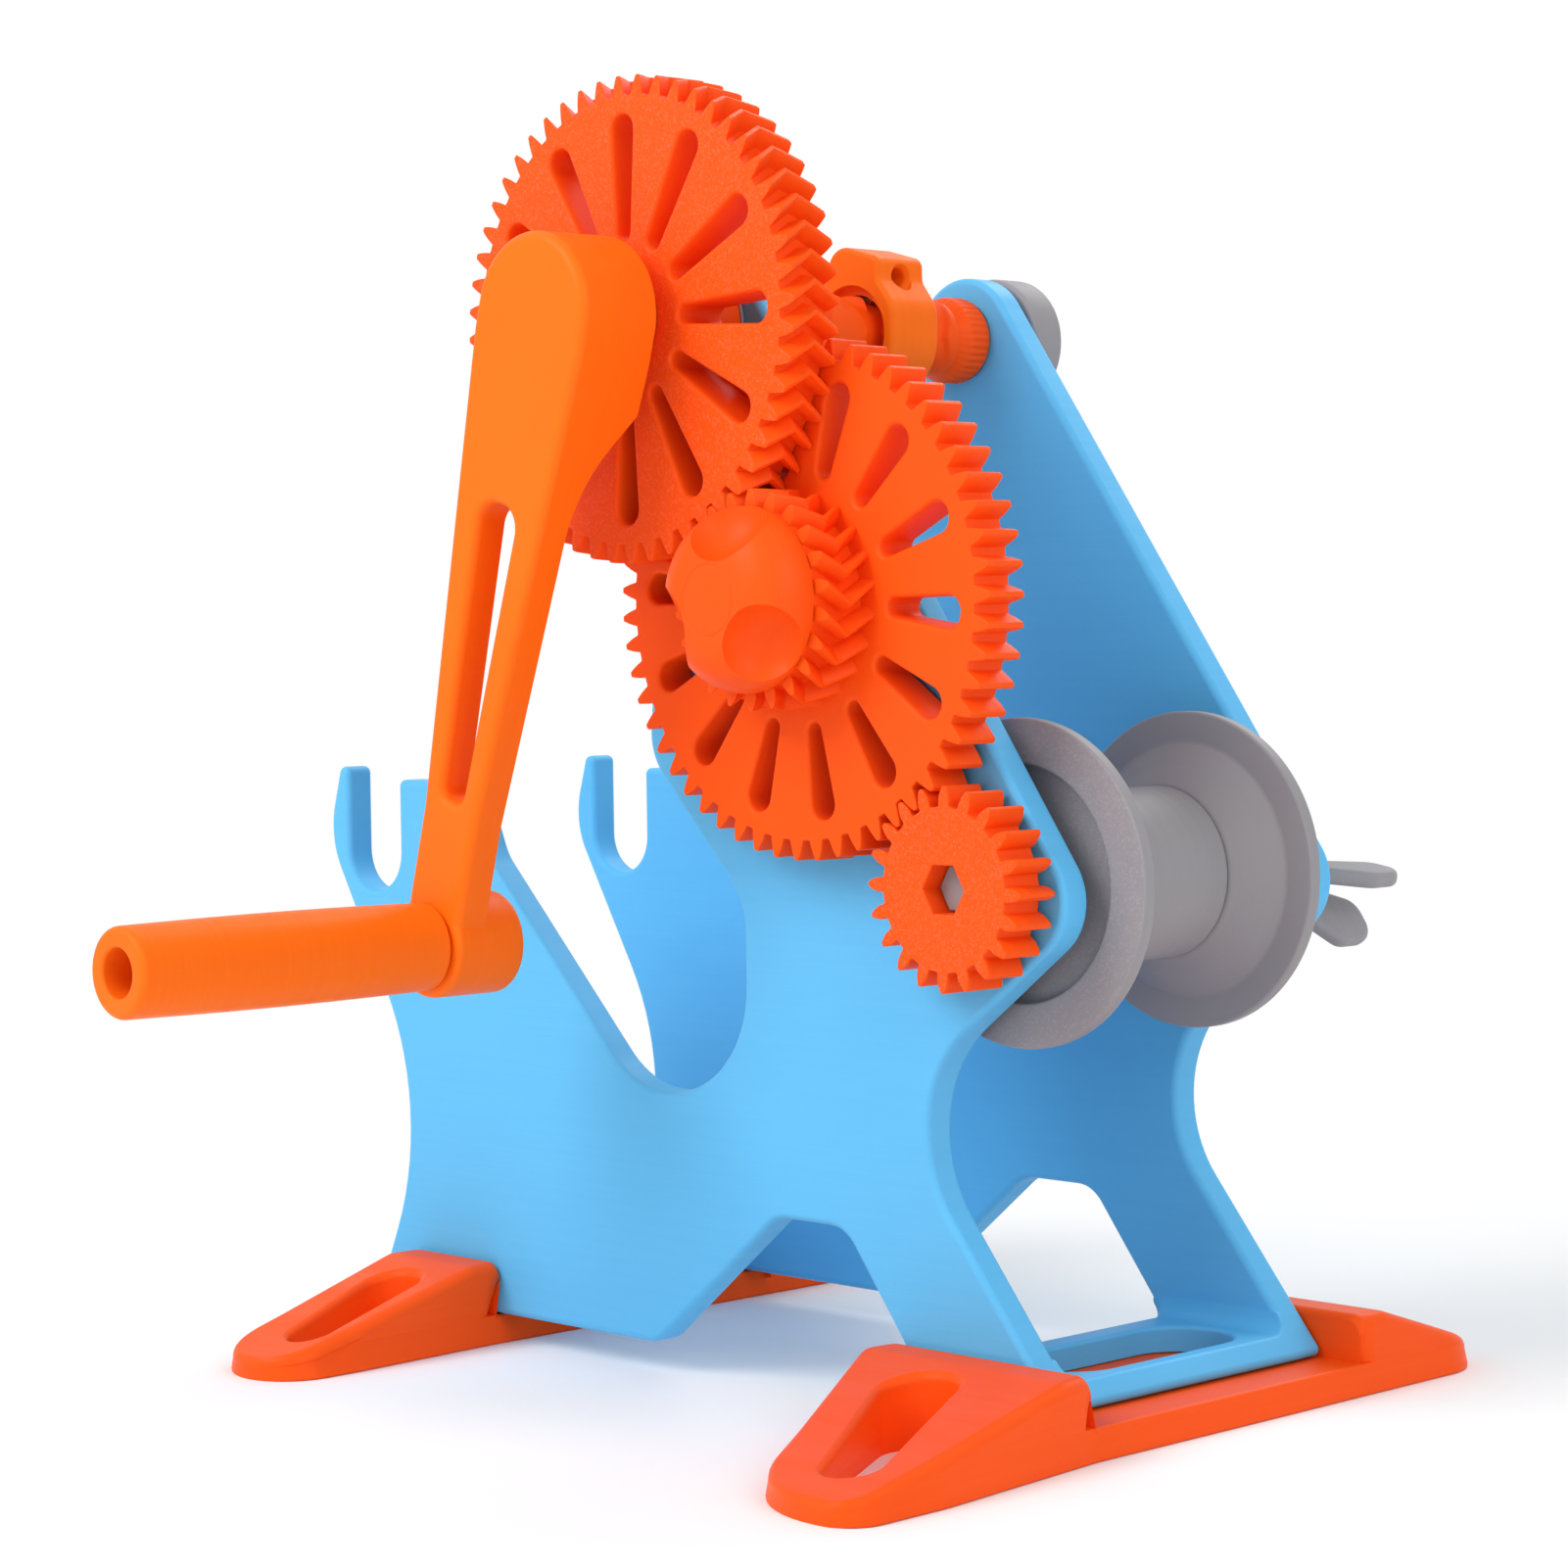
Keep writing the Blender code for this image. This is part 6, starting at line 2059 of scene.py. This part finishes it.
@dataclass
class SmallSpool:
    """Two flanged cones, the axle through them and the thumb nut at its far end."""

    layout: Layout
    flange_radius: float = 0.0357
    flange_thickness: float = 0.0034
    cone_radius: float = 0.02865
    core_radius: float = 0.0193
    cone_length: float = 0.0082
    near_inset: float = 0.0032
    far_inset: float = 0.0125
    recess_radius: float = 0.0258
    recess_depth: float = 0.0026
    hex_flats: float = 0.0098
    thread_radius: float = 0.0050
    hub_radius: float = 0.0090
    hub_length: float = 0.0120
    ear_span: float = 0.0232
    ear_length: float = 0.0260
    ear_thickness: float = 0.0040
    ear_round: float = 0.0050
    ear_middle: float = math.radians(-33)
    ear_spread: float = math.radians(23)
    ear_edge: float = 0.0015
    nut_edge: float = 0.0016
    hex_chamfer: float = 0.0004
    thread_chamfer: float = 0.0006
    edge: float = 0.0007

    def cones(self) -> list[bpy.types.Object]:
        """Both cones and the spacer behind the near one.

        Returns:
            The pieces.
        """
        lay = self.layout
        back = lay.near_in + self.near_inset
        face = back + self.flange_thickness
        far_face = lay.far_in - self.far_inset - self.flange_thickness
        far_back = far_face + self.flange_thickness
        bore = lay.axle_radius + lay.gap
        cone_end = face + self.cone_length
        core_end = far_face - self.cone_length - lay.gap
        core_wall = self.core_radius - lay.bush_wall
        near = [(bore, back + self.recess_depth), (self.recess_radius, back + self.recess_depth),
                (self.recess_radius, back), (self.flange_radius, back), (self.flange_radius, face),
                (self.cone_radius, face), (self.core_radius, cone_end), (self.core_radius, core_end),
                (core_wall, core_end), (core_wall, cone_end), (bore, cone_end)]
        hub = bore + lay.bush_wall * 2
        floor = far_back - self.recess_depth
        hub_end = lay.far_in - lay.gap
        far = [(bore, far_face - self.cone_length), (self.core_radius, far_face - self.cone_length),
               (self.cone_radius, far_face), (self.flange_radius, far_face), (self.flange_radius, far_back),
               (self.recess_radius, far_back), (self.recess_radius, floor), (hub, floor), (hub, hub_end),
               (bore, hub_end)]
        sleeves = Bushes(lay)
        return [fit(turned("spool_half_near", lay.spool_axis, near, 144, self.edge), GREY_BED, Body.SPOOL,
                    "near_cone"),
                fit(turned("spool_half_far", lay.spool_axis, far, 144, self.edge), GREY_ACROSS, Body.SPOOL,
                    "far_cone"),
                sleeves.sleeve("shaft_spacer", "axle_spacer", (lay.spool_axis, bore),
                               (lay.near_in + lay.gap, back + self.recess_depth - lay.gap), GREY_ACROSS,
                               Body.SPOOL)]

    def axle(self) -> bpy.types.Object:
        """Axle with its hexagonal crank side end.

        Returns:
            The piece.
        """
        lay = self.layout
        count = RIM_SIDES
        sides = []
        for k in range(count):
            angle = 2 * math.pi * k / count
            reach = self.hex_flats / 2 / math.cos(angle % (math.pi / 3) - math.pi / 6)
            sides.append(polar(lay.spool_axis, reach, angle))
        thread_end = lay.far_out + lay.bush_flange
        end = thread_end + lay.gap + self.hub_length + lay.overrun
        round_loop = circle(lay.spool_axis, lay.axle_radius, count)
        thread = circle(lay.spool_axis, self.thread_radius, count)
        tip = circle(lay.spool_axis, self.thread_radius - self.thread_chamfer, count)
        start = lay.wheel_front + lay.wheel_width * 0.45
        shoulder = lay.wheel_back + lay.gap
        shaft = stacked("spool_shaft", [
            (start, inset(wound(sides, True), self.hex_chamfer)), (start + self.hex_chamfer, sides),
            (shoulder, sides), (shoulder, round_loop), (thread_end, round_loop), (thread_end, thread),
            (end - self.thread_chamfer, thread), (end, tip)])
        return fit(shaft, GREY_ACROSS, Body.SPOOL, "spool_axle")

    def nut(self) -> bpy.types.Object:
        """Thumb nut with four rounded ears in two pairs.

        Returns:
            The piece.
        """
        lay = self.layout
        low = lay.far_out + lay.bush_flange + lay.gap
        high = low + self.hub_length
        bore = self.thread_radius + lay.gap
        edge = self.nut_edge
        hub = turned("ear_nut", lay.spool_axis, softened(
            [(bore, low), (self.hub_radius, low), (self.hub_radius, high), (bore, high)], edge, 4), RIM_SIDES)
        root = (bore + self.hub_radius) / 2
        far = low + self.ear_length
        ear = rounded_outline([
            (root, low + edge, 0), (self.hub_radius * 1.3, low + edge, self.ear_round),
            (self.ear_span, low + self.ear_length * 0.55, self.ear_round),
            (self.ear_span, far, self.ear_round), (self.ear_span * 0.55, far, self.ear_round),
            (root, high - edge, 0)])
        half = self.ear_thickness / 2
        first, second = self.ear_middle + self.ear_spread, self.ear_middle - self.ear_spread
        for turn in (first, second, first + math.pi, second + math.pi):
            tab = Slab(-half, half, ear, (), (self.ear_edge, self.ear_edge), steps=4).item("ear")
            c, s = math.cos(turn), math.sin(turn)
            tab.data.transform(Matrix(((c, s, 0, lay.spool_axis[0]), (0, 0, 1, 0),
                                       (s, -c, 0, lay.spool_axis[1]), (0, 0, 0, 1))))
            carve(hub, tab, Work.JOIN)
        return fit(hub, GREY_ACROSS, Body.NUT, "thumb_nut")

    def build(self) -> list[bpy.types.Object]:
        """Cones, axle and nut."""
        return [*self.cones(), self.axle(), self.nut()]


@dataclass(frozen=True)
class Lamp:
    """Soft round lamp: its name, its place, its power in watts and the width of its face."""

    name: str
    place: tuple[float, float, float]
    power: float
    width: float = 0.9


@dataclass
class Studio:
    """Pale floor, soft lamps, white surroundings and the camera."""

    camera_place: tuple[float, float, float] = (0.5445, -0.6324, 0.1741)
    azimuth: float = math.radians(45.86)
    elevation: float = math.radians(2.36)
    roll: float = math.radians(-0.78)
    focal_pixels: float = 3843.8
    picture_pixels: float = 1601.0
    sensor: float = 36.0
    floor_size: float = 6.0
    fade_start: float = 0.30
    fade_end: float = 0.75
    ambient: float = 0.62
    aim: tuple[float, float, float] = (-0.05, 0.0, 0.12)
    lamps: tuple[Lamp, ...] = (Lamp("key_lamp", (-0.35, -1.10, 1.05), 12.0),
                               Lamp("fill_lamp", (1.20, -0.30, 0.80), 5.0),
                               Lamp("back_lamp", (-0.30, 1.10, 1.20), 6.0))

    def camera(self) -> None:
        """Camera at the photograph's angle."""
        a, e = self.azimuth, self.elevation
        back = Vector((math.sin(a) * math.cos(e), -math.cos(a) * math.cos(e), math.sin(e)))
        side = Vector((0, 0, 1)).cross(back).normalized()
        up = back.cross(side)
        c, s = math.cos(self.roll), math.sin(self.roll)
        turned_side = side * c + up * s
        turned_up = up * c - side * s
        data = bpy.data.cameras.new("camera")
        data.sensor_width = self.sensor
        data.lens = self.focal_pixels * self.sensor / self.picture_pixels
        data.clip_start = 0.01
        data.clip_end = 50.0
        item = bpy.data.objects.new("camera", data)
        item.matrix_world = Matrix.Translation(self.camera_place) @ Matrix(
            (turned_side, turned_up, back)).transposed().to_4x4()
        bpy.context.scene.collection.objects.link(item)
        bpy.context.scene.camera = item

    def floor(self) -> None:
        """Pale floor under the object, which fades to white away from it."""
        half = self.floor_size / 2
        mesh = bpy.data.meshes.new("floor")
        mesh.from_pydata([(-half, -half, 0), (half, -half, 0), (half, half, 0), (-half, half, 0)], [],
                         [(0, 1, 2, 3)])
        item = bpy.data.objects.new("floor", mesh)
        board = NodeBoard("pale_floor")
        where = board.node("ShaderNodeTexCoord").outputs["Object"]
        haze = board.noise(where, 3.0, 2.0)
        board.feed(board.blend(haze, (0.93, 0.93, 0.93, 1.0), (0.95, 0.95, 0.95, 1.0)),
                   board.shader.inputs["Base Color"])
        board.shader.inputs["Roughness"].default_value = 0.9
        board.shader.inputs["Specular IOR Level"].default_value = 0.1
        reach = board.node("ShaderNodeVectorMath", operation="LENGTH")
        board.feed(where, reach.inputs[0])
        far = board.spread(reach.outputs["Value"], self.fade_start, self.fade_end, 0.0, 1.0, True)
        seen = board.node("ShaderNodeLightPath").outputs["Is Camera Ray"]
        white = board.node("ShaderNodeEmission")
        white.inputs["Color"].default_value = (1.0, 1.0, 1.0, 1.0)
        mix = board.node("ShaderNodeMixShader")
        board.feed(board.math("MULTIPLY", far, seen), mix.inputs[0])
        board.feed(board.shader.outputs[0], mix.inputs[1])
        board.feed(white.outputs[0], mix.inputs[2])
        board.feed(mix.outputs[0], board.tree.nodes["Material Output"].inputs["Surface"])
        mesh.materials.append(board.material)
        bpy.context.scene.collection.objects.link(item)

    def hang(self, lamp: Lamp) -> None:
        """Hang a lamp so that it looks at the middle of the object.

        Args:
            lamp: The lamp.
        """
        data = bpy.data.lights.new(lamp.name, "AREA")
        data.shape = "DISK"
        data.size = lamp.width
        data.energy = lamp.power
        item = bpy.data.objects.new(lamp.name, data)
        item.location = lamp.place
        aim = Vector(self.aim) - Vector(lamp.place)
        item.rotation_mode = "QUATERNION"
        item.rotation_quaternion = aim.to_track_quat("-Z", "Y")
        bpy.context.scene.collection.objects.link(item)

    def surroundings(self) -> None:
        """White surroundings for the camera and for reflections, and a plain level of light."""
        world = bpy.data.worlds.new("studio")
        bpy.context.scene.world = world
        world.use_nodes = True
        tree = world.node_tree
        shown = tree.nodes["Background"]
        shown.inputs["Color"].default_value = (1.0, 1.0, 1.0, 1.0)
        shown.inputs["Strength"].default_value = 1.0
        light = tree.nodes.new("ShaderNodeBackground")
        light.inputs["Color"].default_value = (1.0, 1.0, 1.0, 1.0)
        light.inputs["Strength"].default_value = self.ambient
        path = tree.nodes.new("ShaderNodeLightPath")
        seen = path.outputs["Is Camera Ray"]
        for entry in ("Is Glossy Ray", "Is Transmission Ray"):
            most = tree.nodes.new("ShaderNodeMath")
            most.operation = "MAXIMUM"
            tree.links.new(seen, most.inputs[0])
            tree.links.new(path.outputs[entry], most.inputs[1])
            seen = most.outputs[0]
        mix = tree.nodes.new("ShaderNodeMixShader")
        tree.links.new(seen, mix.inputs[0])
        tree.links.new(light.outputs[0], mix.inputs[1])
        tree.links.new(shown.outputs[0], mix.inputs[2])
        tree.links.new(mix.outputs[0], tree.nodes["World Output"].inputs["Surface"])

    def build(self) -> None:
        """Set up camera, floor, lamps and surroundings."""
        self.camera()
        self.floor()
        self.surroundings()
        for lamp in self.lamps:
            self.hang(lamp)
        bpy.context.scene.view_settings.view_transform = "Standard"


def main() -> None:
    """Build the winder sub-assembly by sub-assembly, then the studio round it."""
    logging.basicConfig(level=logging.INFO, format="%(name)s: %(message)s")
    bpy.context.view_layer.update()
    layout = Layout()
    front_foot = Foot(layout, "front_shoe", "front_foot", middle=0.0005, width=0.063, lip_height=0.0108,
                      near_reach=0.079, far_reach=0.0494, flare=0.0052, tip_share=0.103,
                      tip_rounds=(0.0085, 0.031, 0.017, 0.0115), slot_widths=(0.0170, 0.0120),
                      slot_side=0.1, slot_skew=0.486)
    rear_foot = Foot(layout, "rear_shoe", "rear_foot", middle=-0.17975, width=0.0345, lip_height=0.0133,
                     near_reach=0.068, far_reach=0.050, flare=0.0025, tip_share=-0.297,
                     tip_rounds=(0.013, 0.0175, 0.013, 0.0115), slot_widths=(0.0150, 0.0110),
                     slot_side=0.3, slot_skew=0.177, overhang=0.0030)
    front_bar = CrossBar(layout, "front_bar", "front_cross_member", rear=-0.0178, front=0.0205,
                         leans=(0.76, 0.80), slot=(-0.0008, 0.0245, 0.062))
    rear_bar = CrossBar(layout, "rear_bar", "rear_cross_member", rear=-0.1945, front=-0.1650)
    for assembly in (SidePlates(layout), front_foot, rear_foot, front_bar, rear_bar, Bushes(layout),
                     GearTrain(layout), StudAndKnob(layout), Crank(layout), Traverse(layout),
                     FilamentGuide(layout), SmallSpool(layout)):
        pieces = assembly.build()
        LOG.info("%s: %d pieces", type(assembly).__name__, len(pieces))
    Studio().build()


if __name__ == "__main__":
    main()
